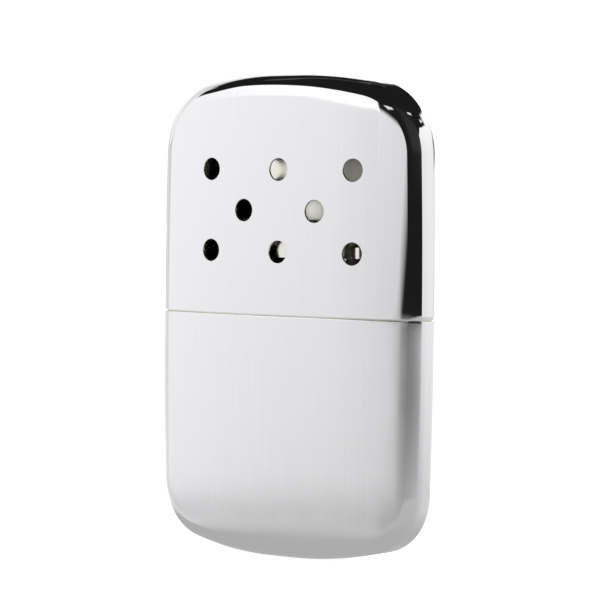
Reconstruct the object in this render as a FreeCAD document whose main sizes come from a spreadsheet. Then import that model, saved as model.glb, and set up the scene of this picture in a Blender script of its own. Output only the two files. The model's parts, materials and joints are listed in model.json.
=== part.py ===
"""Catalytic hand warmer: a pocket case in two drawn shells, with a fuel tank below and a burner under the lid.

The frame: +Z is up, from the base to the crown of the lid. +X runs across the case and +Y to its back.
The origin is the middle of the flat land that the base stands on. Lengths are millimetres.
"""

import FreeCAD, Part
import enum
import math
import os
import Sketcher

# Driving dimensions. Each one becomes a cell of the sheet, with its name as the alias.
SIZES = {
    # The closed case, over both shells.
    "case_width": 67.0,
    "case_height": 99.0,
    "case_depth": 13.0,  # front to back along the middle
    "side_depth": 6.9,  # front to back at the sides, before the edges are rounded
    "edge_radius": 3.2,
    "side_bow_radius": 1150.0,
    "shell_wall": 0.45,
    "seam_height": 49.5,
    "seam_gap": 0.24,
    "rim_radius": 0.16,
    # The crown of the lid and the crown of the base, each with a short flat land in its middle.
    "lid_land": 6.0,
    "lid_crown_radius": 95.0,
    "lid_corner_radius": 15.5,
    "base_land": 6.0,
    "base_crown_radius": 90.0,
    "base_corner_radius": 12.5,
    # Vents through both faces of the lid, in staggered rows of three, two and three.
    "vent_diameter": 4.5,
    "vent_pitch_across": 18.2,
    "vent_row_pitch": 8.4,
    "vent_rise": 21.5,  # from the seam to the middle row
    # The collar that closes the tank and guides the lid.
    "lid_clearance": 0.15,
    "collar_wall": 0.45,
    "collar_depth": 7.0,  # below the seam
    "collar_rise": 6.5,  # above the seam
    "collar_edge_radius": 1.2,
    # The oval filler neck, and what lies inside it.
    "neck_length": 24.0,
    "neck_wall": 0.45,
    "neck_rise": 5.5,
    "neck_lip_radius": 0.15,
    "neck_clearance": 0.1,
    "foot_width": 0.6,
    "wick_clearance": 0.2,
    "wick_length": 4.4,
    "screen_thickness": 0.3,
    "ring_wire": 0.7,
    # The wadding in the tank, in three layers.
    "wadding_clearance": 0.3,
    "wadding_gap": 0.3,
    "wadding_middle": 3.6,
    # The burner.
    "burner_air_gap": 1.2,  # from its hood to the lid, along the middle of each face
    "grip_clearance": 0.12,
    "burner_wall": 0.4,
    "skirt_gap": 0.2,
    "seat_gap": 0.3,
    "flange_end_width": 2.2,
    "flange_side_width": 0.5,
    "hood_edge_radius": 0.9,
    "plate_clearance": 0.1,
    "floor_thickness": 0.4,
    "floor_hole": 1.2,
    "floor_pitch": 2.0,
    "gauze_thickness": 0.3,
    "gauze_opening": 0.9,
    "gauze_pitch": 1.5,
    "mat_thickness": 5.5,
    "mat_clearance": 0.25,
    "mat_edge_radius": 0.8,
    "side_window_width": 4.4,
    "side_window_height": 3.6,
    "side_window_pitch": 7.0,
    "top_window_width": 3.4,
    "top_window_length": 7.4,
    "top_window_pitch": 5.0,
    "end_window_width": 3.4,
    "tab_width": 3.0,
    "tab_reach": 1.4,
    "tab_thickness": 0.35,
}

# Counts of repeated features.
SIDE_WINDOWS = 4
TOP_WINDOWS = 5
VENTS = [(-1, 1), (0, 1), (1, 1), (-0.5, 0), (0.5, 0), (-1, -1), (0, -1), (1, -1)]

# Sizes worked out from the driving ones, as expressions for the sketches and features.
FACE_SAG = "(Sizes.case_depth - Sizes.side_depth) / 2"
FACE_RADIUS = f"(Sizes.case_width ^ 2 / 4 + ({FACE_SAG}) ^ 2) / (2 * ({FACE_SAG}))"
ABOVE_CASE = "(Sizes.case_height + Sizes.edge_radius)"
LID_RIM = "(Sizes.seam_height + Sizes.seam_gap / 2)"
TANK_RIM = "(Sizes.seam_height - Sizes.seam_gap / 2)"
COLLAR_INSET = "(Sizes.shell_wall + Sizes.lid_clearance)"
SHOULDER = "(Sizes.seam_height + Sizes.collar_rise)"
PLATE_UNDERSIDE = f"({SHOULDER} - Sizes.collar_wall)"
NECK_TOP = f"({SHOULDER} + Sizes.neck_rise)"
BESIDE_FLANGE = "(Sizes.plate_clearance + Sizes.burner_wall + Sizes.burner_air_gap + Sizes.shell_wall)"
BESIDE_NECK = f"(Sizes.grip_clearance + Sizes.burner_wall + Sizes.flange_side_width + {BESIDE_FLANGE})"
NECK_WIDTH = f"(Sizes.case_depth - 2 * {BESIDE_NECK})"
NECK_BORE_LENGTH = "(Sizes.neck_length - 2 * Sizes.neck_wall)"
NECK_BORE_WIDTH = f"({NECK_WIDTH} - 2 * Sizes.neck_wall)"
WICK_TOP = f"({SHOULDER} + Sizes.screen_thickness)"
WADDING_TOP = f"({WICK_TOP} - Sizes.wick_length - Sizes.wadding_gap)"
WADDING_INSET = f"({COLLAR_INSET} + Sizes.collar_wall + Sizes.wadding_clearance)"
SKIRT_LENGTH = "(Sizes.neck_length + 2 * (Sizes.grip_clearance + Sizes.burner_wall))"
SKIRT_WIDTH = f"({NECK_WIDTH} + 2 * (Sizes.grip_clearance + Sizes.burner_wall))"
SKIRT_BASE = f"({SHOULDER} + Sizes.skirt_gap)"
FLANGE_BASE = f"({NECK_TOP} + Sizes.seat_gap)"
FLOOR_BASE = f"({FLANGE_BASE} + Sizes.burner_wall)"
LOWER_GAUZE_BASE = f"({FLOOR_BASE} + Sizes.floor_thickness)"
MAT_BASE = f"({LOWER_GAUZE_BASE} + Sizes.gauze_thickness)"
UPPER_GAUZE_BASE = f"({MAT_BASE} + Sizes.mat_thickness)"
HOOD_TOP = f"({UPPER_GAUZE_BASE} + Sizes.gauze_thickness + Sizes.burner_wall + Sizes.plate_clearance)"
HOOD_BASE = f"({FLANGE_BASE} - Sizes.tab_thickness)"
PLATE_LENGTH = f"({SKIRT_LENGTH} + 2 * Sizes.flange_end_width)"
PLATE_WIDTH = f"({SKIRT_WIDTH} + 2 * Sizes.flange_side_width)"
HOOD_LENGTH = f"({PLATE_LENGTH} + 2 * (Sizes.plate_clearance + Sizes.burner_wall))"
HOOD_WIDTH = f"({PLATE_WIDTH} + 2 * (Sizes.plate_clearance + Sizes.burner_wall))"
HOOD_BORE_LENGTH = f"({HOOD_LENGTH} - 2 * Sizes.burner_wall)"
HOOD_BORE_WIDTH = f"({HOOD_WIDTH} - 2 * Sizes.burner_wall)"
UPPER_GAUZE_INSET = "(Sizes.plate_clearance + Sizes.hood_edge_radius - Sizes.burner_wall)"


class PointNumber(enum.IntEnum):
    """Sketcher's numbers for the points of a curve."""

    START = enum.auto()
    END = enum.auto()
    CENTRE = enum.auto()


START, END, CENTRE = PointNumber

# Sketcher's numbers for the sketch's origin and for its two axes.
ORIGIN = (-1, 1)
LEVEL_AXIS, UPRIGHT_AXIS = -1, -2

CLOSE = 1e-4  # how near two places are to count as one

doc = FreeCAD.newDocument("HandWarmer")
sheet = doc.addObject("Spreadsheet::Sheet", "Sizes")
for row, (alias, value) in enumerate(SIZES.items(), start=1):
    sheet.set(f"A{row}", alias.replace("_", " "))
    sheet.set(f"B{row}", str(value))
    sheet.setAlias(f"B{row}", alias)
doc.recompute()


def number(expression):
    """The present value of an expression of the sheet."""
    return float(sheet.evalExpression(expression))


# ---------------------------------------------------------------- bodies and features


def new_body(name):
    """An empty body whose label names its file."""
    body = doc.addObject("PartDesign::Body", name)
    body.Label = name
    return body


def new_sketch(body, role, name, offset=None):
    """A sketch on one of the body's own origin planes, moved along the plane's normal by offset."""
    sketch = body.newObject("Sketcher::SketchObject", f"{body.Name}_{name}")
    plane = next(f for f in body.Origin.OriginFeatures if f.Role == role)
    sketch.AttachmentSupport = [(plane, "")]
    sketch.MapMode = "FlatFace"
    if offset:
        sketch.setExpression("AttachmentOffset.Base.z", offset)
    return sketch


def pad(sketch, length, symmetric=False):
    """Material from the sketch's plane along its normal, or to both sides of it."""
    body = sketch.getParentGeoFeatureGroup()
    feature = body.newObject("PartDesign::Pad", f"{sketch.Name}_pad")
    feature.Profile = sketch
    feature.FuzzyTolerance = 0
    feature.SideType = "Symmetric" if symmetric else "One side"
    feature.setExpression("Length", length)
    doc.recompute()
    return feature


def pocket(sketch, depth=None):
    """A cut below the sketch's plane to a depth, or through everything to both sides of it."""
    body = sketch.getParentGeoFeatureGroup()
    feature = body.newObject("PartDesign::Pocket", f"{sketch.Name}_pocket")
    feature.Profile = sketch
    feature.FuzzyTolerance = 0
    if depth:
        feature.setExpression("Length", depth)
    else:
        feature.Type = "ThroughAll"
        feature.SideType = "Symmetric"
    doc.recompute()
    return feature


def fillet(base, name, radius, chosen):
    """Rounds the edges of base that the test chosen(edge) picks."""
    edges = [f"Edge{n}" for n, edge in enumerate(base.Shape.Edges, start=1) if chosen(edge)]
    body = base.getParentGeoFeatureGroup()
    feature = body.newObject("PartDesign::Fillet", f"{body.Name}_{name}")
    feature.Base = (base, edges)
    feature.setExpression("Radius", radius)
    doc.recompute()
    return feature


def hollow(base, wall, level):
    """Turns a solid into a shell with a wall inwards, open at its flat face at a level."""
    faces = [f"Face{n}" for n, face in enumerate(base.Shape.Faces, start=1) if lies_at(face, level)]
    body = base.getParentGeoFeatureGroup()
    feature = body.newObject("PartDesign::Thickness", f"{body.Name}_shell")
    feature.Base = (base, faces)
    feature.setExpression("Value", wall)
    feature.Reversed = True
    feature.Join = "Intersection"
    doc.recompute()
    return feature


def repeat(original, sketch, axis, count, spacing):
    """Copies of a feature in a row along one of its sketch's axes."""
    body = original.getParentGeoFeatureGroup()
    feature = body.newObject("PartDesign::LinearPattern", f"{original.Name}_row_{axis[0]}")
    feature.Originals = [original]
    feature.Direction = (sketch, [axis])
    feature.Mode = "Spacing"
    feature.Occurrences = count
    feature.setExpression("Offset", spacing)
    body.Tip = feature
    doc.recompute()
    return feature


def mirror(original, sketch, axis):
    """A mirrored copy of a feature across the plane that stands on one of its sketch's axes."""
    body = original.getParentGeoFeatureGroup()
    feature = body.newObject("PartDesign::Mirrored", f"{original.Name}_mirror")
    feature.Originals = [original]
    feature.MirrorPlane = (sketch, [axis])
    body.Tip = feature
    doc.recompute()
    return feature


# ---------------------------------------------------------------- picking faces and edges


def lies_at(shape, level):
    """Whether a face or an edge lies flat at a height."""
    heights = [vertex.Z for vertex in shape.Vertexes] + [shape.CenterOfMass.z]
    return all(abs(height - level) < CLOSE for height in heights)


def on_one_side(edge):
    """Whether both ends of an edge are in front of the middle plane, or both are behind it."""
    return edge.Vertexes[0].Y * edge.Vertexes[-1].Y > 0


def is_upright(edge):
    first, last = edge.Vertexes[0], edge.Vertexes[-1]
    return math.hypot(first.X - last.X, first.Y - last.Y) < CLOSE


# ---------------------------------------------------------------- drawing sketches


def dimension(sketch, kind, *where, size):
    """A dimension that an expression of the sheet drives."""
    index = sketch.addConstraint(Sketcher.Constraint(kind, *where, number(size)))
    sketch.setExpression(f"Constraints[{index}]", size)


def constrain(sketch, kind, *where):
    sketch.addConstraint(Sketcher.Constraint(kind, *where))


def draw_line(sketch, start, end):
    """A line, as its number and the numbers of its start and end points."""
    index = sketch.addGeometry(Part.LineSegment(FreeCAD.Vector(*start), FreeCAD.Vector(*end)))
    return index, START, END


def draw_arc(sketch, centre, start, end):
    """The shorter arc from start to end, as its number and the numbers of its start and end points."""
    angles = [math.atan2(p[1] - centre[1], p[0] - centre[0]) for p in (start, end)]
    clockwise = math.sin(angles[1] - angles[0]) < 0
    if clockwise:
        angles.reverse()
    circle = Part.Circle(FreeCAD.Vector(*centre), FreeCAD.Vector(0, 0, 1), math.dist(centre, start))
    index = sketch.addGeometry(Part.ArcOfCircle(circle, *angles))
    return (index, END, START) if clockwise else (index, START, END)


def join_smoothly(sketch, first, second):
    """Tangency from the end of one curve to the start of the next."""
    constrain(sketch, "Tangent", first[0], first[2], second[0], second[1])


def join_at_corner(sketch, first, second):
    constrain(sketch, "Coincident", first[0], first[2], second[0], second[1])


def rolled_centre(first_centre, first_radius, second_centre, second_radius, up):
    """The centre of a circle that touches two others from inside, on the outer side of the case.

    The two radii are those of the big circles less that of the small one.
    """
    gap = math.dist(first_centre, second_centre)
    along = (first_radius**2 - second_radius**2 + gap**2) / (2 * gap)
    aside = math.sqrt(first_radius**2 - along**2)
    ux = (second_centre[0] - first_centre[0]) / gap
    uy = (second_centre[1] - first_centre[1]) / gap
    return (
        first_centre[0] + along * ux + up * aside * uy,
        first_centre[1] + along * uy - up * aside * ux,
    )


def draw_case_outline(sketch, end, open_level, inset):
    """Front view of the half of the case towards one end, lid or base, offset inwards by an inset.

    A flat land, two crown arcs, two corner arcs and two slightly bowed sides, closed at open_level.
    """
    up = 1 if end == "lid" else -1
    land = f"Sizes.{end}_land"
    crown_radius = f"Sizes.{end}_crown_radius - {inset}"
    corner_radius = f"Sizes.{end}_corner_radius - {inset}"
    side_radius = f"Sizes.side_bow_radius - {inset}"
    side_centre = "Sizes.side_bow_radius - Sizes.case_width / 2"
    tip = f"Sizes.case_height - {inset}" if end == "lid" else inset
    reach = f"{tip} - {open_level}" if end == "lid" else f"{open_level} - {tip}"

    half_land = number(land) / 2
    tip_z = number(tip)
    open_z = number(open_level)
    seam_z = number("Sizes.seam_height")
    crown_r, corner_r, side_r = (number(r) for r in (crown_radius, corner_radius, side_radius))
    crown_c = (half_land, tip_z - up * crown_r)
    side_c = (-number(side_centre), seam_z)
    corner_c = rolled_centre(crown_c, crown_r - corner_r, side_c, side_r - corner_r, up)

    def on_circle(centre, radius, through):
        share = radius / math.dist(centre, through)
        return tuple(c + (t - c) * share for c, t in zip(centre, through))

    crown_end = on_circle(crown_c, crown_r, corner_c)
    side_end = on_circle(side_c, side_r, corner_c)
    open_x = side_c[0] + math.sqrt(side_r**2 - (open_z - seam_z) ** 2)

    def mirrored(point, hand):
        return (hand * point[0], point[1])

    top = draw_line(sketch, (-half_land, tip_z), (half_land, tip_z))
    opening = draw_line(sketch, (open_x, open_z), (-open_x, open_z))
    sides = {}
    for hand in (1, -1):
        crown = draw_arc(
            sketch, mirrored(crown_c, hand), (hand * half_land, tip_z), mirrored(crown_end, hand)
        )
        corner = draw_arc(
            sketch, mirrored(corner_c, hand), mirrored(crown_end, hand), mirrored(side_end, hand)
        )
        side = draw_arc(
            sketch, mirrored(side_c, hand), mirrored(side_end, hand), (hand * open_x, open_z)
        )
        join_smoothly(sketch, crown, corner)
        join_smoothly(sketch, corner, side)
        sides[hand] = (crown, corner, side)
    right_crown, right_corner, right_side = sides[1]
    left_crown, left_corner, left_side = sides[-1]
    join_smoothly(sketch, top, right_crown)
    constrain(sketch, "Tangent", top[0], START, left_crown[0], left_crown[1])
    join_at_corner(sketch, right_side, opening)
    constrain(sketch, "Coincident", opening[0], END, left_side[0], left_side[2])
    constrain(sketch, "Symmetric", top[0], START, top[0], END, UPRIGHT_AXIS)
    constrain(sketch, "Horizontal", opening[0])
    constrain(sketch, "Equal", right_crown[0], left_crown[0])
    constrain(sketch, "Equal", right_corner[0], left_corner[0])
    constrain(sketch, "Equal", right_side[0], left_side[0])
    constrain(sketch, "Symmetric", right_side[0], CENTRE, left_side[0], CENTRE, UPRIGHT_AXIS)
    dimension(sketch, "DistanceX", top[0], START, top[0], END, size=land)
    dimension(sketch, "Radius", right_crown[0], size=crown_radius)
    dimension(sketch, "Radius", right_corner[0], size=corner_radius)
    dimension(sketch, "Radius", right_side[0], size=side_radius)
    dimension(sketch, "DistanceX", right_side[0], CENTRE, *ORIGIN, size=side_centre)
    dimension(sketch, "DistanceY", *ORIGIN, right_side[0], CENTRE, size="Sizes.seam_height")
    dimension(sketch, "DistanceY", *ORIGIN, opening[0], START, size=open_level)
    lower, higher = (opening, top) if end == "lid" else (top, opening)
    dimension(sketch, "DistanceY", lower[0], START, higher[0], START, size=reach)


def draw_face_trim(sketch, inset):
    """Plan view of what lies in front of and behind the two bowed faces, offset inwards by an inset."""
    radius = f"{FACE_RADIUS} - {inset}"
    centre_distance = f"{FACE_RADIUS} - Sizes.case_depth / 2"
    half_width = "Sizes.case_width / 2 + Sizes.edge_radius"
    outside = "Sizes.case_depth / 2 + Sizes.edge_radius"
    x = number(half_width)
    y = number(outside)
    for side in (-1, 1):
        centre_y = -side * number(centre_distance)
        face_y = centre_y + side * math.sqrt(number(radius) ** 2 - x**2)
        face = draw_arc(sketch, (0, centre_y), (-x, face_y), (x, face_y))
        right = draw_line(sketch, (x, face_y), (x, side * y))
        outer = draw_line(sketch, (x, side * y), (-x, side * y))
        left = draw_line(sketch, (-x, side * y), (-x, face_y))
        for first, second in ((face, right), (right, outer), (outer, left), (left, face)):
            join_at_corner(sketch, first, second)
        constrain(sketch, "Vertical", right[0])
        constrain(sketch, "Vertical", left[0])
        constrain(sketch, "Symmetric", outer[0], START, outer[0], END, UPRIGHT_AXIS)
        constrain(sketch, "PointOnObject", face[0], CENTRE, UPRIGHT_AXIS)
        dimension(sketch, "Radius", face[0], size=radius)
        dimension(sketch, "DistanceX", *ORIGIN, outer[0], START, size=half_width)
        outer_point = (outer[0], START)
        centre_point = (face[0], CENTRE)
        low, high = (centre_point, outer_point) if side == 1 else (outer_point, centre_point)
        dimension(sketch, "DistanceY", *low, *ORIGIN, size=centre_distance if side == 1 else outside)
        dimension(sketch, "DistanceY", *ORIGIN, *high, size=outside if side == 1 else centre_distance)


def draw_case_section(sketch, inset):
    """Plan section of the case between its two bowed faces and two sides, offset inwards by an inset."""
    radius = f"{FACE_RADIUS} - {inset}"
    centre_distance = f"{FACE_RADIUS} - Sizes.case_depth / 2"
    half_width = f"Sizes.case_width / 2 - {inset}"
    x = number(half_width)
    y = math.sqrt(number(radius) ** 2 - x**2) - number(centre_distance)
    front = draw_arc(sketch, (0, number(centre_distance)), (-x, -y), (x, -y))
    right = draw_line(sketch, (x, -y), (x, y))
    back = draw_arc(sketch, (0, -number(centre_distance)), (x, y), (-x, y))
    left = draw_line(sketch, (-x, y), (-x, -y))
    for first, second in ((front, right), (right, back), (back, left), (left, front)):
        join_at_corner(sketch, first, second)
    constrain(sketch, "Vertical", right[0])
    constrain(sketch, "Vertical", left[0])
    constrain(sketch, "Symmetric", front[0], front[1], front[0], front[2], UPRIGHT_AXIS)
    constrain(sketch, "PointOnObject", front[0], CENTRE, UPRIGHT_AXIS)
    constrain(sketch, "PointOnObject", back[0], CENTRE, UPRIGHT_AXIS)
    constrain(sketch, "Equal", front[0], back[0])
    dimension(sketch, "Radius", front[0], size=radius)
    dimension(sketch, "DistanceX", *ORIGIN, right[0], START, size=half_width)
    dimension(sketch, "DistanceY", *ORIGIN, front[0], CENTRE, size=centre_distance)
    dimension(sketch, "DistanceY", back[0], CENTRE, *ORIGIN, size=centre_distance)


def draw_oval(sketch, length, width):
    """A straight-sided oval about the origin: two half rounds and two straight sides along X."""
    radius = number(width) / 2
    x = number(length) / 2 - radius
    lower = draw_line(sketch, (-x, -radius), (x, -radius))
    upper = draw_line(sketch, (x, radius), (-x, radius))
    centre = FreeCAD.Vector(x, 0, 0)
    normal = FreeCAD.Vector(0, 0, 1)
    right = sketch.addGeometry(
        Part.ArcOfCircle(Part.Circle(centre, normal, radius), -math.pi / 2, math.pi / 2)
    )
    left = sketch.addGeometry(
        Part.ArcOfCircle(Part.Circle(-centre, normal, radius), math.pi / 2, 3 * math.pi / 2)
    )
    rounds = ((right, START, END), (left, START, END))
    join_smoothly(sketch, lower, rounds[0])
    join_smoothly(sketch, rounds[0], upper)
    join_smoothly(sketch, upper, rounds[1])
    join_smoothly(sketch, rounds[1], lower)
    constrain(sketch, "Symmetric", right, CENTRE, left, CENTRE, *ORIGIN)
    constrain(sketch, "Horizontal", lower[0])
    constrain(sketch, "Equal", right, left)
    dimension(sketch, "Radius", right, size=f"{width} / 2")
    dimension(sketch, "DistanceX", left, CENTRE, right, CENTRE, size=f"{length} - {width}")


def draw_rectangle(sketch, width, height, centre_x, centre_y):
    """A rectangle with its centre at a distance right of and above the origin."""
    x0 = number(centre_x) - number(width) / 2
    x1 = number(centre_x) + number(width) / 2
    y0 = number(centre_y) - number(height) / 2
    y1 = number(centre_y) + number(height) / 2
    corners = [(x0, y0), (x1, y0), (x1, y1), (x0, y1)]
    lines = [draw_line(sketch, corners[n], corners[(n + 1) % 4]) for n in range(4)]
    for n in range(4):
        join_at_corner(sketch, lines[n], lines[(n + 1) % 4])
        constrain(sketch, "Vertical" if n % 2 else "Horizontal", lines[n][0])
    dimension(sketch, "DistanceX", lines[0][0], START, lines[0][0], END, size=width)
    dimension(sketch, "DistanceY", lines[1][0], START, lines[1][0], END, size=height)
    far_corner = (lines[1][0], END)
    dimension(sketch, "DistanceX", *ORIGIN, *far_corner, size=f"{centre_x} + {width} / 2")
    dimension(sketch, "DistanceY", *ORIGIN, *far_corner, size=f"{centre_y} + {height} / 2")


def draw_circle(sketch, diameter, centre_x, centre_y):
    """A circle with its centre at a distance from the origin that may be negative or nothing."""
    centre = FreeCAD.Vector(number(centre_x), number(centre_y), 0)
    circle = sketch.addGeometry(Part.Circle(centre, FreeCAD.Vector(0, 0, 1), number(diameter) / 2))
    dimension(sketch, "Diameter", circle, size=diameter)
    for kind, away, axis in (
        ("DistanceX", centre_x, UPRIGHT_AXIS),
        ("DistanceY", centre_y, LEVEL_AXIS),
    ):
        if number(away) == 0:
            constrain(sketch, "PointOnObject", circle, CENTRE, axis)
        else:
            dimension(sketch, kind, *ORIGIN, circle, CENTRE, size=away)


# ---------------------------------------------------------------- the case


def case_shell(name, end, rim):
    """One drawn shell of the case, from its outline, its bowed faces and its rounded edges."""
    body = new_body(name)
    outline = new_sketch(body, "XZ_Plane", "outline")
    draw_case_outline(outline, end, rim, "0")
    pad(outline, "Sizes.case_depth + Sizes.edge_radius", symmetric=True)
    faces = new_sketch(body, "XY_Plane", "faces", ABOVE_CASE)
    draw_face_trim(faces, "0")
    block = pocket(faces, ABOVE_CASE)
    rim_level = number(rim)
    rounded = fillet(
        block, "edges", "Sizes.edge_radius", lambda e: on_one_side(e) and not lies_at(e, rim_level)
    )
    shell = hollow(rounded, "Sizes.shell_wall", rim_level)
    return body, shell, rim_level


def outer_rim(shell, level):
    """A test for the edges of the outer of the two wires around a shell's open rim."""
    rim = next(face for face in shell.Shape.Faces if lies_at(face, level))
    return lambda edge: any(edge.isSame(other) for other in rim.OuterWire.Edges)


def lid_shell():
    """The upper shell, pierced with vents through its front and its back."""
    body, shell, level = case_shell("lid_shell", "lid", LID_RIM)
    fillet(shell, "rim", "Sizes.rim_radius", outer_rim(shell, level))
    vents = new_sketch(body, "XZ_Plane", "vents")
    for across, up in VENTS:
        draw_circle(
            vents,
            "Sizes.vent_diameter",
            f"Sizes.vent_pitch_across * {across}",
            f"Sizes.seam_height + Sizes.vent_rise + Sizes.vent_row_pitch * {up}",
        )
    pocket(vents)


def tank_shell():
    """The lower shell, which is the outside of the fuel tank."""
    body, shell, level = case_shell("tank_shell", "base", TANK_RIM)
    fillet(shell, "rim", "Sizes.rim_radius", outer_rim(shell, level))


def tank_collar():
    """The drawn cap that closes the tank, with a sleeve for the lid and an oval hole for the neck."""
    body = new_body("tank_collar")
    section = new_sketch(body, "XY_Plane", "section", "Sizes.seam_height - Sizes.collar_depth")
    draw_case_section(section, COLLAR_INSET)
    block = pad(section, "Sizes.collar_depth + Sizes.collar_rise")
    sides = fillet(block, "sides", f"Sizes.edge_radius - {COLLAR_INSET}", is_upright)
    shoulder = number(SHOULDER)
    rounded = fillet(
        sides, "shoulder", "Sizes.collar_edge_radius", lambda e: lies_at(e, shoulder)
    )
    foot = number("Sizes.seam_height - Sizes.collar_depth")
    hollow(rounded, "Sizes.collar_wall", foot)
    hole = new_sketch(body, "XY_Plane", "hole", SHOULDER)
    draw_oval(
        hole,
        "(Sizes.neck_length + 2 * Sizes.neck_clearance)",
        f"({NECK_WIDTH} + 2 * Sizes.neck_clearance)",
    )
    pocket(hole, "2 * Sizes.collar_wall")


def filler_neck():
    """The oval neck that the tank is filled through, with a foot under the collar's plate."""
    body = new_body("filler_neck")
    foot_level = f"({PLATE_UNDERSIDE} - Sizes.neck_wall)"
    foot = new_sketch(body, "XY_Plane", "foot", foot_level)
    draw_oval(
        foot,
        "(Sizes.neck_length + 2 * Sizes.foot_width)",
        f"({NECK_WIDTH} + 2 * Sizes.foot_width)",
    )
    pad(foot, "Sizes.neck_wall")
    tube = new_sketch(body, "XY_Plane", "tube", foot_level)
    draw_oval(tube, "Sizes.neck_length", NECK_WIDTH)
    pad(tube, f"{NECK_TOP} - {foot_level}")
    bore = new_sketch(body, "XY_Plane", "bore", NECK_TOP)
    draw_oval(bore, NECK_BORE_LENGTH, NECK_BORE_WIDTH)
    tube_with_bore = pocket(bore)
    top = number(NECK_TOP)
    fillet(tube_with_bore, "lip", "Sizes.neck_lip_radius", lambda e: lies_at(e, top))


# ---------------------------------------------------------------- inside the tank


def oval_plate(name, length, width, level, thickness):
    """A flat oval plate that stands on a level."""
    body = new_body(name)
    outline = new_sketch(body, "XY_Plane", "outline", level)
    draw_oval(outline, length, width)
    return body, pad(outline, thickness)


def neck_wick():
    """The felt plug that fills the neck and draws fuel up from the wadding."""
    length = f"({NECK_BORE_LENGTH} - 2 * Sizes.wick_clearance)"
    width = f"({NECK_BORE_WIDTH} - 2 * Sizes.wick_clearance)"
    oval_plate("neck_wick", length, width, f"{WICK_TOP} - Sizes.wick_length", "Sizes.wick_length")


def neck_screen():
    """The wire screen over the wick, which keeps the wadding in when the tank is filled."""
    length = f"({NECK_BORE_LENGTH} - 2 * Sizes.neck_clearance)"
    width = f"({NECK_BORE_WIDTH} - 2 * Sizes.neck_clearance)"
    pierced_plate(
        "neck_screen", length, width, WICK_TOP, "Sizes.screen_thickness",
        "Sizes.gauze_opening", "Sizes.gauze_pitch",
    )


def screen_ring():
    """The sprung oval ring of round wire that holds the screen down in the neck."""
    body = new_body("screen_ring")
    level = f"{WICK_TOP} + Sizes.screen_thickness + Sizes.ring_wire / 2"
    across = f"(Sizes.ring_wire + 2 * Sizes.neck_clearance)"
    path = new_sketch(body, "XY_Plane", "path", level)
    draw_oval(path, f"({NECK_BORE_LENGTH} - {across})", f"({NECK_BORE_WIDTH} - {across})")
    wire = new_sketch(body, "YZ_Plane", "wire")
    draw_circle(wire, "Sizes.ring_wire", f"({NECK_BORE_WIDTH} - {across}) / 2", level)
    sweep = body.newObject("PartDesign::AdditivePipe", "screen_ring_sweep")
    sweep.Profile = wire
    sweep.Spine = (path, [])
    doc.recompute()


def wadding(name, layer):
    """One layer of the cotton that fills the tank: -1 is the front one, 0 the middle and 1 the back."""
    body = new_body(name)
    outline = new_sketch(body, "XZ_Plane", "outline")
    draw_case_outline(outline, "base", WADDING_TOP, WADDING_INSET)
    pad(outline, "Sizes.case_depth", symmetric=True)
    faces = new_sketch(body, "XY_Plane", "faces", ABOVE_CASE)
    draw_face_trim(faces, WADDING_INSET)
    block = pocket(faces, ABOVE_CASE)
    top = number(WADDING_TOP)
    fillet(
        block, "edges", f"Sizes.edge_radius - {WADDING_INSET}",
        lambda e: on_one_side(e) and not lies_at(e, top),
    )
    slices = new_sketch(body, "XY_Plane", "slices", ABOVE_CASE)
    width = "(Sizes.case_width + Sizes.edge_radius)"
    outside = "Sizes.case_depth"
    middle = "Sizes.wadding_middle / 2"
    if layer == 0:
        draw_slab(slices, width, (outside, -1), (middle, -1))
        draw_slab(slices, width, (middle, 1), (outside, 1))
    else:
        cuts = [(outside, -layer), (f"{middle} + Sizes.wadding_gap", layer)]
        draw_slab(slices, width, *cuts[::layer])
    pocket(slices, ABOVE_CASE)


def draw_slab(sketch, width, near, far):
    """A rectangle centred on the upright axis, between two distances from the level axis.

    Each distance is a pair: its expression, and 1 or -1 for the side of the axis that it is on.
    """
    x = number(width) / 2
    low, high = (sign * number(away) for away, sign in (near, far))
    corners = [(-x, low), (x, low), (x, high), (-x, high)]
    lines = [draw_line(sketch, corners[n], corners[(n + 1) % 4]) for n in range(4)]
    for n in range(4):
        join_at_corner(sketch, lines[n], lines[(n + 1) % 4])
    constrain(sketch, "Vertical", lines[1][0])
    for line, (away, sign) in ((lines[0], near), (lines[2], far)):
        constrain(sketch, "Symmetric", line[0], START, line[0], END, UPRIGHT_AXIS)
        ends = (ORIGIN, (line[0], START)) if sign == 1 else ((line[0], START), ORIGIN)
        dimension(sketch, "DistanceY", *ends[0], *ends[1], size=away)
    dimension(sketch, "DistanceX", lines[0][0], START, lines[0][0], END, size=width)


# ---------------------------------------------------------------- the burner


def pierced_plate(name, length, width, level, thickness, hole, pitch, round_holes=False):
    """A flat oval plate pierced all over its straight middle by rows of small holes."""
    body, plate = oval_plate(name, length, width, level, thickness)
    columns = 2 * int((number(length) - number(width)) / 2 / number(pitch)) + 1
    rows = 2 * int((number(width) / 2 - number(hole)) / number(pitch)) + 1
    first = new_sketch(body, "XY_Plane", "hole", f"{level} + {thickness}")
    left = f"0 - {pitch} * {columns // 2}"
    front = f"0 - {pitch} * {rows // 2}"
    if round_holes:
        draw_circle(first, hole, left, front)
    else:
        draw_rectangle(first, hole, hole, left, front)
    one = pocket(first)
    pattern = body.newObject("PartDesign::LinearPattern", f"{name}_holes")
    pattern.Originals = [one]
    pattern.Direction = (first, ["H_Axis"])
    pattern.Direction2 = (first, ["V_Axis"])
    pattern.Mode = "Spacing"
    pattern.Mode2 = "Spacing"
    pattern.Occurrences = columns
    pattern.Occurrences2 = rows
    pattern.setExpression("Offset", pitch)
    pattern.setExpression("Offset2", pitch)
    body.Tip = pattern
    doc.recompute()


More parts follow.
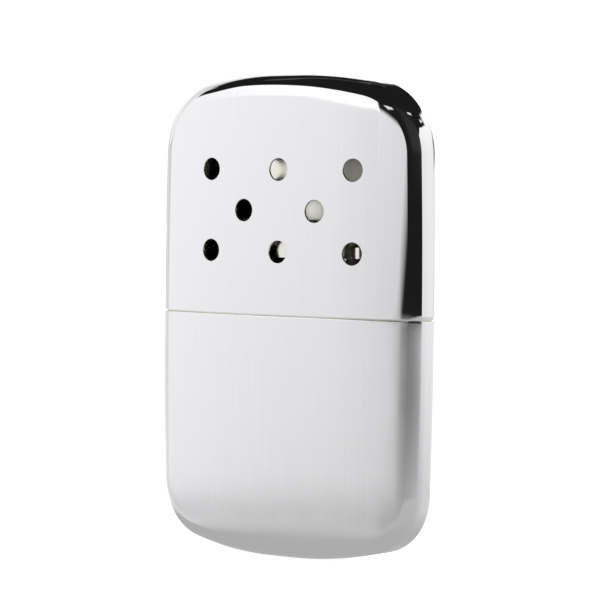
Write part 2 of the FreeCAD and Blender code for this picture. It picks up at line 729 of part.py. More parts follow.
def burner_skirt():
    """The burner's lower drawing: a sleeve that grips the neck, with a flange that carries the rest."""
    body = new_body("burner_skirt")
    sleeve = new_sketch(body, "XY_Plane", "sleeve", SKIRT_BASE)
    draw_oval(sleeve, SKIRT_LENGTH, SKIRT_WIDTH)
    pad(sleeve, f"{FLOOR_BASE} - {SKIRT_BASE}")
    flange = new_sketch(body, "XY_Plane", "flange", FLANGE_BASE)
    draw_oval(flange, PLATE_LENGTH, PLATE_WIDTH)
    pad(flange, "Sizes.burner_wall")
    bore = new_sketch(body, "XY_Plane", "bore", FLOOR_BASE)
    draw_oval(
        bore,
        "(Sizes.neck_length + 2 * Sizes.grip_clearance)",
        f"({NECK_WIDTH} + 2 * Sizes.grip_clearance)",
    )
    pocket(bore)


def burner_hood():
    """The burner's upper drawing: a cap with windows for air, closed over the flange by two tabs."""
    body = new_body("burner_hood")
    outline = new_sketch(body, "XY_Plane", "outline", HOOD_BASE)
    draw_oval(outline, HOOD_LENGTH, HOOD_WIDTH)
    block = pad(outline, f"{HOOD_TOP} - {HOOD_BASE}")
    top = number(HOOD_TOP)
    rounded = fillet(block, "shoulder", "Sizes.hood_edge_radius", lambda e: lies_at(e, top))
    hollow(rounded, "Sizes.burner_wall", number(HOOD_BASE))

    middle = f"({LOWER_GAUZE_BASE} + {UPPER_GAUZE_BASE}) / 2"
    side = new_sketch(body, "XZ_Plane", "side_window")
    draw_rectangle(
        side, "Sizes.side_window_width", "Sizes.side_window_height",
        f"0 - Sizes.side_window_pitch * {(SIDE_WINDOWS - 1) / 2}", middle,
    )
    repeat(pocket(side), side, "H_Axis", SIDE_WINDOWS, "Sizes.side_window_pitch")

    ends = new_sketch(body, "YZ_Plane", "end_window")
    draw_rectangle(ends, "Sizes.end_window_width", "Sizes.side_window_height", "0", middle)
    pocket(ends)

    window = new_sketch(body, "XY_Plane", "top_window", HOOD_TOP)
    draw_rectangle(
        window, "Sizes.top_window_width", "Sizes.top_window_length",
        f"0 - Sizes.top_window_pitch * {(TOP_WINDOWS - 1) / 2}", "0",
    )
    repeat(
        pocket(window, "2 * Sizes.burner_wall"), window, "H_Axis", TOP_WINDOWS,
        "Sizes.top_window_pitch",
    )

    tab = new_sketch(body, "XY_Plane", "tab", HOOD_BASE)
    draw_rectangle(
        tab, "Sizes.tab_reach", "Sizes.tab_width",
        f"({HOOD_LENGTH} - Sizes.burner_wall - Sizes.tab_reach) / 2", "0",
    )
    mirror(pad(tab, "Sizes.tab_thickness"), tab, "V_Axis")


def catalyst_mat():
    """The thick mat of platinum-coated glass fibre that burns the fuel vapour without a flame."""
    length = f"({HOOD_BORE_LENGTH} - 2 * Sizes.mat_clearance)"
    width = f"({HOOD_BORE_WIDTH} - 2 * Sizes.mat_clearance)"
    body, block = oval_plate("catalyst_mat", length, width, MAT_BASE, "Sizes.mat_thickness")
    levels = (number(MAT_BASE), number(UPPER_GAUZE_BASE))
    fillet(
        block, "edges", "Sizes.mat_edge_radius", lambda e: any(lies_at(e, level) for level in levels)
    )


def build():
    """Every piece of the hand warmer."""
    lid_shell()
    tank_shell()
    tank_collar()
    filler_neck()
    neck_wick()
    neck_screen()
    screen_ring()
    wadding("wadding_front", -1)
    wadding("wadding_middle", 0)
    wadding("wadding_back", 1)
    burner_skirt()
    pierced_plate(
        "burner_floor", PLATE_LENGTH, PLATE_WIDTH, FLOOR_BASE, "Sizes.floor_thickness",
        "Sizes.floor_hole", "Sizes.floor_pitch", round_holes=True,
    )
    pierced_plate(
        "lower_gauze", PLATE_LENGTH, PLATE_WIDTH, LOWER_GAUZE_BASE, "Sizes.gauze_thickness",
        "Sizes.gauze_opening", "Sizes.gauze_pitch",
    )
    catalyst_mat()
    pierced_plate(
        "upper_gauze",
        f"({HOOD_BORE_LENGTH} - 2 * {UPPER_GAUZE_INSET})",
        f"({HOOD_BORE_WIDTH} - 2 * {UPPER_GAUZE_INSET})",
        UPPER_GAUZE_BASE, "Sizes.gauze_thickness", "Sizes.gauze_opening", "Sizes.gauze_pitch",
    )
    burner_hood()


def export():
    """Checks every object, then writes each body's shape to its own file."""
    for item in doc.Objects:
        if "Invalid" in item.State or "Error" in item.State:
            raise RuntimeError(f"{item.Name} failed: {item.State}")
    bodies = [item for item in doc.Objects if item.TypeId == "PartDesign::Body"]
    for body in bodies:
        if body.Shape.isNull() or not body.Shape.isValid() or not body.Shape.Solids:
            raise RuntimeError(f"{body.Label} is no valid solid")
    os.makedirs("parts", exist_ok=True)
    for body in bodies:
        body.Shape.exportStep(f"parts/{body.Label}.step")
        print(f"{body.Label}: {len(body.Shape.Solids)} solid, {body.Shape.Volume:.1f} mm3")


build()
doc.recompute()
export()
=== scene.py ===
# %% [markdown]
# # A catalytic hand warmer
#
# A pocket hand warmer is two drawn metal shells. The upper one is a lid with eight vents, and it slips over a
# collar on the lower one, which is a fuel tank full of cotton. Under the lid, a small burner sits on the
# filler neck and holds a mat of coated glass fibre. This lesson dresses the finished construction model:
# its pieces keep their places and sizes, and Blender gives them surfaces, fibres and light.

# %% Load the construction model
import bpy
import bmesh
import json
import math
import random
from mathutils import Matrix, Vector, noise
from mathutils.bvhtree import BVHTree
from mathutils.geometry import intersect_sphere_sphere_2d

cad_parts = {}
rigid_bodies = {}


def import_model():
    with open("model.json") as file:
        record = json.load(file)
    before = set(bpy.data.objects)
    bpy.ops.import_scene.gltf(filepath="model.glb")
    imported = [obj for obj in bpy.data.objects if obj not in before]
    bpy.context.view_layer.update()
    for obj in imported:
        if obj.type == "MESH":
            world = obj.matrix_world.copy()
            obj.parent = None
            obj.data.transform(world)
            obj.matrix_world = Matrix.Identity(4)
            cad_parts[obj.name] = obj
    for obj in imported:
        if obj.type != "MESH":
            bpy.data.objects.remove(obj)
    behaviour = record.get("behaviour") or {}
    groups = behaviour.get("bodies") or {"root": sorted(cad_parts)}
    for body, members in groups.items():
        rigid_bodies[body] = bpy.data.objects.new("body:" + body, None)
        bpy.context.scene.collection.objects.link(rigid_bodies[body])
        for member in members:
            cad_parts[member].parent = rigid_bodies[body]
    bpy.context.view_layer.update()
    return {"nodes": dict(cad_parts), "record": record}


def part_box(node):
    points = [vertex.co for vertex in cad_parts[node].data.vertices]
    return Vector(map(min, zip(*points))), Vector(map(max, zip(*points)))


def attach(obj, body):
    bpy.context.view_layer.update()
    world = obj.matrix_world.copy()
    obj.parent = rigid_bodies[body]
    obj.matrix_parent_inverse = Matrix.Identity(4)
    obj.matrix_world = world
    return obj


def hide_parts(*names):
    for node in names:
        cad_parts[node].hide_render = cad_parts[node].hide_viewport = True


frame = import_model()
MM = 0.001  # metres in a millimetre
print("nodes:", ", ".join(sorted(frame["nodes"])))

# %% [markdown]
# ## The case's sizes
#
# Everything that follows is measured from the construction model's own boxes: how wide, deep and high the two
# shells are and where their rims stand. The radii are the ones that the press tools have.

# %% Sizes of the case
lid_low, lid_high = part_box("lid_shell")
HALF_WIDTH = lid_high.x
HALF_DEPTH = lid_high.y
CROWN = lid_high.z
LID_RIM = lid_low.z
TANK_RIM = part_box("tank_shell")[1].z
SEAM = (LID_RIM + TANK_RIM) / 2
SIDE_HALF_DEPTH = 3.45 * MM  # where the bowed faces would reach the sides, if the edges were sharp
EDGE_RADIUS = 3.2 * MM
SIDE_BOW_RADIUS = 1150 * MM
SHELL_WALL = 0.45 * MM
FACE_SAG = HALF_DEPTH - SIDE_HALF_DEPTH
FACE_RADIUS = (HALF_WIDTH**2 + FACE_SAG**2) / (2 * FACE_SAG)
FACE_AXIS = FACE_RADIUS - HALF_DEPTH  # how far behind the middle plane the front face's axis stands
print(f"case {2000 * HALF_WIDTH:.1f} x {2000 * HALF_DEPTH:.1f} x {1000 * CROWN:.1f} mm")
print(f"its faces are bowed to a radius of {1000 * FACE_RADIUS:.1f} mm")

# %% [markdown]
# ## A drawn shell
#
# Each shell is pressed from one sheet, so its face runs into its sides over a soft edge with no seam. A
# bevel would round the edge, but where the bowed face meets the side at a slant, a bevel's curve starts with
# a crease, and polished chrome shows every crease. So the edge is rolled: a vertex is spun round the crown,
# the corner and the side, which draws a quarter of the outline, and that outline is extruded in rings along
# the path of a ball that touches both the side and the face.

# %% Trace a quarter of the outline
EDGE_STEPS = 12
CROWN_STEPS = 26  # with the corner's steps, this keeps every strip's border clear of the vents' edges
CORNER_STEPS = 26
SIDE_STEPS = 6
LAND = 6 * MM  # the flat middle of the crown and of the base
LAND_STEP = 2 * MM


def spin_vertex(bm, vertex, centre, turn, steps, outward):
    """Sweeps a vertex round an axis along Y, and notes which way is outwards at each new one."""
    first = len(bm.verts)
    bmesh.ops.spin(bm, geom=[vertex], cent=centre, axis=(0, 1, 0), angle=turn, steps=steps)
    bm.verts.ensure_lookup_table()
    for new in bm.verts[first:]:
        new[outward] = (new.co - centre).normalized()
    return bm.verts[-1]


def trace_outline(bm, outward, up, tip, crown_radius, corner_radius, rim):
    """A quarter of a shell's outline in the middle plane, from the middle of its crown to its rim."""
    crown = Vector((LAND / 2, 0, tip - up * crown_radius))
    side = Vector((HALF_WIDTH - SIDE_BOW_RADIUS, 0, SEAM))
    meets = intersect_sphere_sphere_2d(
        crown.xz, crown_radius - corner_radius, side.xz, SIDE_BOW_RADIUS - corner_radius
    )
    corner_x, corner_z = max(meets, key=lambda point: up * point[1])
    corner = Vector((corner_x, 0, corner_z))

    def lean(towards):
        return math.atan2(towards.x, up * towards.z)

    crown_end = lean(corner - crown)
    corner_end = lean(corner - side)
    side_end = math.acos(up * (rim - SEAM) / SIDE_BOW_RADIUS)
    steps = round(LAND / LAND_STEP)
    flat = [bm.verts.new((LAND / 2 * step / steps, 0, tip)) for step in range(steps + 1)]
    for pair in zip(flat, flat[1:]):
        bm.edges.new(pair)
    for vertex in flat:
        vertex[outward] = (0, 0, up)
    end = flat[-1]
    end = spin_vertex(bm, end, crown, up * crown_end, CROWN_STEPS, outward)
    end = spin_vertex(bm, end, corner, up * (corner_end - crown_end), CORNER_STEPS, outward)
    spin_vertex(bm, end, side, up * (side_end - corner_end), SIDE_STEPS, outward)


# %% Roll the edge and lay the face
FACE_MARGIN = 1.5 * MM  # a flat ring round the face keeps its shading clear of the rolled edge
MIRROR_WELD = 0.0001 * MM
POINT_WELD = 0.002 * MM


def whole(bm):
    """All vertices, edges and faces of a bmesh."""
    return bm.verts[:] + bm.edges[:] + bm.faces[:]


def of_kind(items, kind):
    """Those of an operator's items that are vertices, edges or faces, as kind says."""
    return [item for item in items if isinstance(item, kind)]


def middle_of(item):
    """The middle of a vertex, an edge or a face, as whole nanometres."""
    corners = [item] if isinstance(item, bmesh.types.BMVert) else item.verts
    return [round(1e9 * sum(v.co[axis] for v in corners) / len(corners)) for axis in range(3)]


def put_in_order(bm):
    """Sorts a bmesh by place, because some operators leave its parts in another order on each run."""
    for parts in (bm.verts, bm.edges, bm.faces):
        ranks = {item: rank for rank, item in enumerate(sorted(parts, key=middle_of))}
        parts.sort(key=ranks.get)
        parts.index_update()


def roll_ball(wall, outward, share):
    """A point of the rounded edge: share 0 is on the side wall and share 1 on the bowed face."""
    ball = wall - outward * EDGE_RADIUS
    ball.y = FACE_AXIS - math.sqrt((FACE_RADIUS - EDGE_RADIUS) ** 2 - ball.x**2)
    facing = Vector((ball.x, ball.y - FACE_AXIS, 0)).normalized()
    return ball + outward.slerp(facing, share) * EDGE_RADIUS


def lay_on_face(wall, outward):
    """A point of the bowed face, a margin inwards from where the rolled edge ends."""
    point = roll_ball(wall, outward, 1) - outward * FACE_MARGIN
    point.y = FACE_AXIS - math.sqrt(FACE_RADIUS**2 - point.x**2)
    return point


def extrude_ring(bm, edges, place):
    """Extrudes a chain of edges, puts each new vertex in its place and returns the new chain."""
    made = bmesh.ops.extrude_edge_only(bm, edges=edges)["geom"]
    new = set(of_kind(made, bmesh.types.BMVert))
    for vertex in new:
        vertex.co = place(vertex)
    return [edge for edge in of_kind(made, bmesh.types.BMEdge) if new.issuperset(edge.verts)]


def drawn_skin(up, tip, crown_radius, corner_radius, rim):
    """The outer skin of a shell, open at its rim: a quarter is shaped, then mirrored twice.

    Up is 1 for a shell with its crown above its rim, and -1 for one with its base below. The tip is the level
    of that crown or base.
    """
    bm = bmesh.new()
    outward = bm.verts.layers.float_vector.new("outward")
    wall = bm.verts.layers.float_vector.new("wall")
    trace_outline(bm, outward, up, tip, crown_radius, corner_radius, rim)
    print("quarter outline:", len(bm.verts), "points")
    for vertex in bm.verts:
        vertex[wall] = vertex.co
    ring = bm.edges[:]
    for step in range(EDGE_STEPS + 1):
        share = step / EDGE_STEPS
        ring = extrude_ring(bm, ring, lambda v: roll_ball(v[wall], v[outward], share))
    ring = extrude_ring(bm, ring, lambda v: lay_on_face(v[wall], v[outward]))
    extrude_ring(bm, ring, lambda v: Vector((v.co.x, v.co.y, rim)))
    for axis in "XY":
        bmesh.ops.mirror(bm, geom=whole(bm), axis=axis, merge_dist=MIRROR_WELD)
    bmesh.ops.remove_doubles(bm, verts=bm.verts, dist=POINT_WELD)
    bmesh.ops.dissolve_degenerate(bm, edges=bm.edges, dist=POINT_WELD)
    bmesh.ops.recalc_face_normals(bm, faces=bm.faces)
    return bm


# %% [markdown]
# ## Chrome
#
# Chrome plate is a mirror of about a thousandth of a millimetre over nickel and steel. In Blender it is a
# metal with a pale, faintly blue colour and almost no roughness. A perfect mirror looks like a computer's,
# so three small things are added: smudges from handling, which change only the roughness, hairlines from the
# press and from polishing, which are a very shallow bump with a trace of shade, and a duller band at the rim,
# where the two shells rub. The tank's plate is a little softer than the lid's.

# %% Hex colours and helpers for nodes


def linear(code):
    """The linear colour of an sRGB hex value."""
    shares = [int(code[start : start + 2], 16) / 255 for start in (1, 3, 5)]
    return (*(s / 12.92 if s <= 0.04045 else ((s + 0.055) / 1.055) ** 2.4 for s in shares), 1)


def add_node(tree, kind, settings=None, links=None):
    """Adds a node. Settings are values of its sockets or properties, links are outputs to join."""
    node = tree.nodes.new("ShaderNode" + kind)
    for key, value in (settings or {}).items():
        if isinstance(key, int) or key in node.inputs:
            node.inputs[key].default_value = value
        else:
            setattr(node, key, value)
    for key, output in (links or {}).items():
        tree.links.new(output, node.inputs[key])
    return node


def add_noise(tree, place, size, detail, **settings):
    """Adds noise with lumps of a size in metres."""
    return add_node(
        tree, "TexNoise", {"Scale": 1 / size, "Detail": detail, **settings}, {"Vector": place}
    )


def add_range(tree, value, span, onto):
    """Maps a span of a value onto another, and returns the mapped value."""
    limits = dict(zip(("From Min", "From Max", "To Min", "To Max"), (*span, *onto)))
    return add_node(tree, "MapRange", limits, {"Value": value}).outputs["Result"]


def add_ramp(tree, value, *stops):
    """Colours a value by stops (position, linear colour), in order, and returns the colour."""
    ramp = add_node(tree, "ValToRGB", links={"Fac": value})
    elements = ramp.color_ramp.elements
    for position, _ in stops[1:-1]:
        elements.new(position)
    for element, (position, colour) in zip(elements, stops):
        element.position = position
        element.color = colour
    return ramp.outputs["Color"]


def add_bump(tree, height, depth, strength=1):
    """Adds a bump of a depth in metres, and returns its normal."""
    bump = add_node(tree, "Bump", {"Strength": strength, "Distance": depth}, {"Height": height})
    return bump.outputs["Normal"]


def new_material(name):
    """An empty node material and its tree."""
    material = bpy.data.materials.new(name)
    material.use_nodes = True
    material.node_tree.nodes.clear()
    return material, material.node_tree


print("chrome is", [round(share, 3) for share in linear("#E0E0E2")[:3]])

# %% Bright plating on drawn sheet
SMUDGE = 7 * MM
SMUDGE_SPAN = (0.35, 0.75)  # of the noise: below it the plate is clean, and above it fully smudged
HAIRLINE = 0.5 * MM  # coarser than the real lines, so that they show
HAIRLINE_STRETCH = 50
HAIRLINE_SPAN = (0.3, 0.7)
HAIRLINE_SHADE = 0.98
RUB_HEIGHT = 1.6 * MM
RUB_ROUGHNESS = 0.05
DULL_SPAN = (-6 * MM, 9 * MM)  # across the case, from where dulling starts to where it is full
END_SHADE_SPAN = (-24 * MM, -15 * MM)  # across the case, from where the painted shade is full to where it ends


def plated_sheet(name, colour, roughness, smudge, hairline_depth, dull_end=0, painted_end_shade=0):
    """Bright plating with smudges, upright hairlines and a rubbed band beside the seam.

    Towards the right end of the case, its roughness grows by dull_end. Towards the left end, painted shade
    takes away the share of its brightness that the last argument gives.
    """
    material, tree = new_material(name)
    place = add_node(tree, "TexCoord").outputs["Object"]
    smudges = add_noise(tree, place, SMUDGE, 4, Roughness=0.6)
    soft = add_range(tree, smudges.outputs["Fac"], SMUDGE_SPAN, (roughness, roughness + smudge))
    split = add_node(tree, "SeparateXYZ", links={"Vector": place})
    from_seam = add_node(tree, "Math", {"operation": "SUBTRACT", 1: SEAM}, {0: split.outputs["Z"]})
    away = add_node(tree, "Math", {"operation": "ABSOLUTE"}, {0: from_seam.outputs[0]})
    rubbed = add_range(tree, away.outputs[0], (0, RUB_HEIGHT), (RUB_ROUGHNESS, 0))
    rough = add_node(tree, "Math", {"operation": "ADD"}, {0: soft, 1: rubbed}).outputs[0]
    if dull_end:
        fumed = add_range(tree, split.outputs["X"], DULL_SPAN, (0, dull_end))
        rough = add_node(tree, "Math", {"operation": "ADD"}, {0: rough, 1: fumed}).outputs[0]
    upright = add_node(tree, "Mapping", {"Scale": (1, 1, 1 / HAIRLINE_STRETCH)}, {"Vector": place})
    hairlines = add_noise(tree, upright.outputs["Vector"], HAIRLINE, 3).outputs["Fac"]
    bright = linear(colour)
    shaded = (*(share * HAIRLINE_SHADE for share in bright[:3]), 1)
    tone = add_ramp(tree, hairlines, (HAIRLINE_SPAN[0], shaded), (HAIRLINE_SPAN[1], bright))
    # Painted shade: the inside grows darker towards the left end of the case.
    if painted_end_shade:
        end_shaded = add_range(tree, split.outputs["X"], END_SHADE_SPAN, (1 - painted_end_shade, 1))
        tone = add_node(tree, "VectorMath", {"operation": "SCALE"}, {0: tone, "Scale": end_shaded}).outputs[0]
    relief = add_bump(tree, hairlines, hairline_depth)
    plate = add_node(
        tree, "BsdfPrincipled", {"Metallic": 1}, {"Base Color": tone, "Roughness": rough, "Normal": relief}
    )
    add_node(tree, "OutputMaterial", links={"Surface": plate.outputs["BSDF"]})
    return material


# Polished by hand before plating: a hard, deep mirror.
chrome = plated_sheet(
    "mirror chrome on drawn steel", "#E2E2E4", roughness=0.022, smudge=0.006, hairline_depth=0.0002 * MM
)
# Plated straight from the press: the same colour, but edges in its reflections are soft.
satin = plated_sheet(
    "soft chrome on drawn steel", "#E3E3E5", roughness=0.085, smudge=0.03, hairline_depth=0.0003 * MM
)
# The lid's inside is never polished. It is a little warm, and the burner's fumes leave it dull towards one
# end. Towards the other end it is darkened by painted shade, so some vents show pale metal and others dark
# metal.
inside_plate = plated_sheet(
    "unpolished nickel inside", "#E6E3DC", roughness=0.07, smudge=0.06, hairline_depth=0.0006 * MM,
    dull_end=0.3, painted_end_shade=0.45,
)
print("materials:", ", ".join(material.name for material in (chrome, satin, inside_plate)))

# %% [markdown]
# ## Wall, rim and vents
#
# The skin gets its thickness inwards. The rims of the two shells aren't cut square: the press turns the last
# millimetre in a little, and that is the soft bright line beside the seam. The vents are punched through
# with round cutters by a boolean, and a small bevel gives their edges the roundness that a punch leaves.

# %% Give a skin its wall and its turned-in rim
RIM_STEPS = 8
FACE_ROLL = (0.22 * MM, 0.02 * MM)  # height and depth of the turn-in on the broad faces of both shells
LID_SIDE_ROLL = (0.95 * MM, 0.16 * MM)
TANK_SIDE_ROLL = (0.3 * MM, 0.05 * MM)
SHARP_ANGLE = 35


def thicken(bm, rim, side_roll):
    """A wall inwards from the skin. Towards the rim, its outer surface turns in along a parabola."""
    into = 1 if rim == LID_RIM else -1
    for step in range(1, RIM_STEPS + 1):
        level = rim + into * side_roll[0] * (step / RIM_STEPS) ** 2
        bmesh.ops.bisect_plane(bm, geom=whole(bm), plane_co=(0, 0, level), plane_no=(0, 0, 1))
    bm.normal_update()
    outer = {vertex: vertex.normal.copy() for vertex in bm.verts}
    for vertex, normal in outer.items():
        if vertex.is_boundary:
            normal.z = 0
            normal.normalize()
    twins = bmesh.ops.duplicate(bm, geom=whole(bm))
    for vertex, normal in outer.items():
        twins["vert_map"][vertex].co -= normal * SHELL_WALL
        sideways = normal.x**2
        tall, deep = (face + (side - face) * sideways for face, side in zip(FACE_ROLL, side_roll))
        below = 1 - abs(vertex.co.z - rim) / tall
        if below > 0:
            vertex.co -= normal * deep * below**2
    inside = of_kind(twins["geom"], bmesh.types.BMFace)
    for face in inside:
        face.material_index = 1
    bmesh.ops.reverse_faces(bm, faces=inside)
    bmesh.ops.bridge_loops(bm, edges=[edge for edge in bm.edges if edge.is_boundary])
    bmesh.ops.recalc_face_normals(bm, faces=bm.faces)
    print("edges without two faces:", sum(not edge.is_manifold for edge in bm.edges))


def new_piece(name, bm, material, sharp=SHARP_ANGLE):
    """A bmesh as an object at the origin, smooth except along edges sharper than an angle in degrees."""
    mesh = bpy.data.meshes.new(name)
    put_in_order(bm)
    bm.to_mesh(mesh)
    bm.free()
    mesh.shade_smooth()
    mesh.set_sharp_from_angle(angle=math.radians(sharp))
    mesh.materials.append(material)
    piece = bpy.data.objects.new(name, mesh)
    bpy.context.scene.collection.objects.link(piece)
    return piece


def box_of(piece):
    """A piece's lowest and highest corner in millimetres, rounded to hundredths."""
    corners = [v.co for v in piece.data.vertices]
    low = [round(1000 * min(c[axis] for c in corners), 2) for axis in range(3)]
    high = [round(1000 * max(c[axis] for c in corners), 2) for axis in range(3)]
    return low, high


skin = drawn_skin(up=1, tip=CROWN, crown_radius=95 * MM, corner_radius=15.5 * MM, rim=LID_RIM)
thicken(skin, LID_RIM, LID_SIDE_ROLL)
lid = new_piece("vented_lid", skin, chrome)
print("lid:", box_of(lid))
skin = drawn_skin(up=-1, tip=0, crown_radius=90 * MM, corner_radius=12.5 * MM, rim=TANK_RIM)
thicken(skin, TANK_RIM, TANK_SIDE_ROLL)
tank = new_piece("fuel_tank", skin, satin)
print("tank:", box_of(tank))
for shell in (lid, tank):
    shell.data.materials.append(inside_plate)

# %% Punch the vents
VENT_RADIUS = 2.25 * MM
VENT_ACROSS = 18.2 * MM
VENT_ROW_PITCH = 8.4 * MM
VENT_RISE = 21.5 * MM  # from the seam to the middle row
VENT_PLACES = [
    (across * VENT_ACROSS, SEAM + VENT_RISE + row * VENT_ROW_PITCH)
    for row, columns in ((1, (-1, 0, 1)), (0, (-0.5, 0.5)), (-1, (-1, 0, 1)))
    for across in columns
]
VENT_SEGMENTS = 56
PUNCH_LENGTH = 3 * HALF_DEPTH
ON_RIM = 0.01 * MM  # how far off a vent's circle a point of its rim may be
RIM_WELD = 0.07 * MM
NO_LENGTH = 0.001 * MM
CUT_ANGLE = math.radians(60)
VENT_ROUNDING = 0.14 * MM
FACE_WEIGHT = 100  # the largest faces alone decide the shading


def settle(piece):
    """Applies a piece's modifiers to its mesh."""
    graph = bpy.context.evaluated_depsgraph_get()
    finished = bpy.data.meshes.new_from_object(piece.evaluated_get(graph))
    piece.modifiers.clear()
    piece.data = finished


def punch_vents(piece):
    """Cuts every vent through both faces of a piece."""
    punches = bmesh.new()
    for x, z in VENT_PLACES:
        place = Matrix.Translation((x, 0, z)) @ Matrix.Rotation(math.pi / 2, 4, "X")
        bmesh.ops.create_cone(
            punches, cap_ends=True, segments=VENT_SEGMENTS, radius1=VENT_RADIUS, radius2=VENT_RADIUS,
            depth=PUNCH_LENGTH, matrix=place,
        )
    cutter = new_piece("punches", punches, chrome)
    cut = piece.modifiers.new("punch", "BOOLEAN")
    cut.object = cutter
    cut.solver = "EXACT"
    settle(piece)
    bpy.data.objects.remove(cutter)


def round_vents(piece):
    """A small bevel on both edges of every vent."""
    bm = bmesh.new()
    bm.from_mesh(piece.data)

    def on_rim(vertex):
        point = (vertex.co.x, vertex.co.z)
        return any(abs(math.dist(point, place) - VENT_RADIUS) < ON_RIM for place in VENT_PLACES)

    cut = [vertex for vertex in bm.verts if on_rim(vertex)]
    near = {corner for vertex in cut for edge in vertex.link_edges for corner in edge.verts}
    bmesh.ops.remove_doubles(bm, verts=sorted(near, key=middle_of), dist=RIM_WELD)
    bmesh.ops.dissolve_degenerate(bm, edges=bm.edges, dist=NO_LENGTH)
    rims = [
        edge
        for edge in bm.edges
        if edge.calc_face_angle(0) > CUT_ANGLE and all(on_rim(v) for v in edge.verts)
    ]
    bmesh.ops.bevel(
        bm, geom=rims, offset=VENT_ROUNDING, segments=3, profile=0.5, affect="EDGES", material=-1
    )
    bmesh.ops.recalc_face_normals(bm, faces=bm.faces)
    put_in_order(bm)
    bm.to_mesh(piece.data)
    bm.free()
    piece.data.shade_smooth()
    piece.data.set_sharp_from_angle(angle=math.radians(SHARP_ANGLE))
    return len(rims)


punch_vents(lid)
print("vent edges rounded:", round_vents(lid))
for shell in (lid, tank):
    shading = shell.modifiers.new("flat faces keep their shading", "WEIGHTED_NORMAL")
    shading.keep_sharp = True
    shading.weight = FACE_WEIGHT
print("lid faces:", len(lid.data.polygons))
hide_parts("lid_shell")
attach(lid, "lid")
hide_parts("tank_shell")
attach(tank, "tank")

# %% [markdown]
# ## Woven wire gauze
#
# Three oval discs of gauze: one over the wick, one below and one above the catalyst mat. Real gauze is two
# sets of wires that pass over and under each other, and a pierced plate never looks like it, so each wire
# here is a curve of its own. A quadratic spline whose control points go up and down in turn is just such a
# crimped wire, and it reaches half as high as its control points. A flat binding holds the cut ends.

# %% Ovals, and bent wires made into meshes
HEAD_STRAIGHT = 10.37 * MM  # half the straight part of the burner's ovals
NECK_STRAIGHT = 8.67 * MM
OVAL_SEGMENTS = 48
CORNER_ANGLE = 1  # radians
WIRE_RESOLUTION = 2


def add_oval(bm, half_straight, radius, level, filled):
    """An oval with round ends: a circle whose two halves are moved apart."""
    ring = bmesh.ops.create_circle(bm, cap_ends=filled, segments=OVAL_SEGMENTS, radius=radius)["verts"]
    half_step = Matrix.Rotation(math.pi / OVAL_SEGMENTS, 3, "Z")
    bmesh.ops.rotate(bm, cent=(0, 0, 0), matrix=half_step, verts=ring)
    for side in (-1, 1):
        end = [vertex for vertex in ring if vertex.co.x * side > 0]
        bmesh.ops.translate(bm, verts=end, vec=(side * half_straight, 0, level))


def raise_block(bm, height, rounding, steps):
    """Raises flat faces into a closed block of a height, and rounds its corners in some steps."""
    raised = of_kind(bmesh.ops.extrude_face_region(bm, geom=bm.faces[:])["geom"], bmesh.types.BMVert)
    bmesh.ops.translate(bm, verts=raised, vec=(0, 0, height))
    bmesh.ops.recalc_face_normals(bm, faces=bm.faces)
    corners = [edge for edge in bm.edges if edge.calc_face_angle(0) > CORNER_ANGLE]
    bmesh.ops.bevel(
        bm, geom=corners, offset=rounding, segments=steps, profile=0.5, affect="EDGES", material=-1
    )


def bend_wires(lines, radius, roundness):
    """The mesh of wires, each one a quadratic spline along its list of control points.

    A wire has four sides, and two more for each step of roundness.
    """
    curve = bpy.data.curves.new("wires", "CURVE")
    curve.dimensions = "3D"
    curve.bevel_depth = radius
    curve.bevel_resolution = roundness
    curve.resolution_u = WIRE_RESOLUTION
    curve.use_fill_caps = True
    for line in lines:
        spline = curve.splines.new("NURBS")
        spline.points.add(len(line) - 1)
        for point, place in zip(spline.points, line):
            point.co = (*place, 1)
        spline.order_u = 3
        spline.use_endpoint_u = True
    bent = bpy.data.objects.new("wires", curve)
    bpy.context.scene.collection.objects.link(bent)
    mesh = bpy.data.meshes.new_from_object(bent.evaluated_get(bpy.context.evaluated_depsgraph_get()))
    bpy.data.objects.remove(bent)
    return mesh


# %% Steel that works hot
HEAT_PATCH = 4.4 * MM
HEAT_FOOT = 62 * MM  # below this level the burner stays as cool as it was pressed
HEAT_HEAD = 70.5 * MM
STRAW_STOP = 0.62
BRUSH_LINE = 0.18 * MM
BRUSH_STRETCH = 25


def hot_steel(name, colour, straw, dark, roughness, line_depth):
    """Stainless steel with brushed lines, tinted straw and then bronze where the burner glows."""
    material, tree = new_material(name)
    place = add_node(tree, "TexCoord").outputs["Object"]
    height = add_node(tree, "SeparateXYZ", links={"Vector": place}).outputs["Z"]
    heat = add_range(tree, height, (HEAT_FOOT, HEAT_HEAD), (0, 1))
    patches = add_noise(tree, place, HEAT_PATCH, 4).outputs["Fac"]
    uneven = add_range(tree, patches, (0.3, 0.7), (0.35, 1))
    tint = add_node(tree, "Math", {"operation": "MULTIPLY"}, {0: heat, 1: uneven}).outputs[0]
    bands = add_ramp(tree, tint, (0, linear(colour)), (STRAW_STOP, linear(straw)), (1, linear(dark)))
    flattened = (1 / BRUSH_STRETCH, 1 / BRUSH_STRETCH, 1)
    along = add_node(tree, "Mapping", {"Scale": flattened}, {"Vector": place}).outputs["Vector"]
    lines = add_noise(tree, along, BRUSH_LINE, 3).outputs["Fac"]
    rough = add_range(tree, lines, (0, 1), (roughness - 0.06, roughness + 0.1))
    relief = add_bump(tree, lines, line_depth)
    steel = add_node(
        tree, "BsdfPrincipled", {"Metallic": 1}, {"Base Color": bands, "Roughness": rough, "Normal": relief}
    )
    add_node(tree, "OutputMaterial", links={"Surface": steel.outputs["BSDF"]})
    return material


# Drawn wire is duller than sheet, and the gauze over the mat is the hottest piece of all.
wire_steel = hot_steel(
    "woven stainless wire", colour="#C2BFB9", straw="#B9A98B", dark="#8A7765", roughness=0.34,
    line_depth=0.0006 * MM,
)
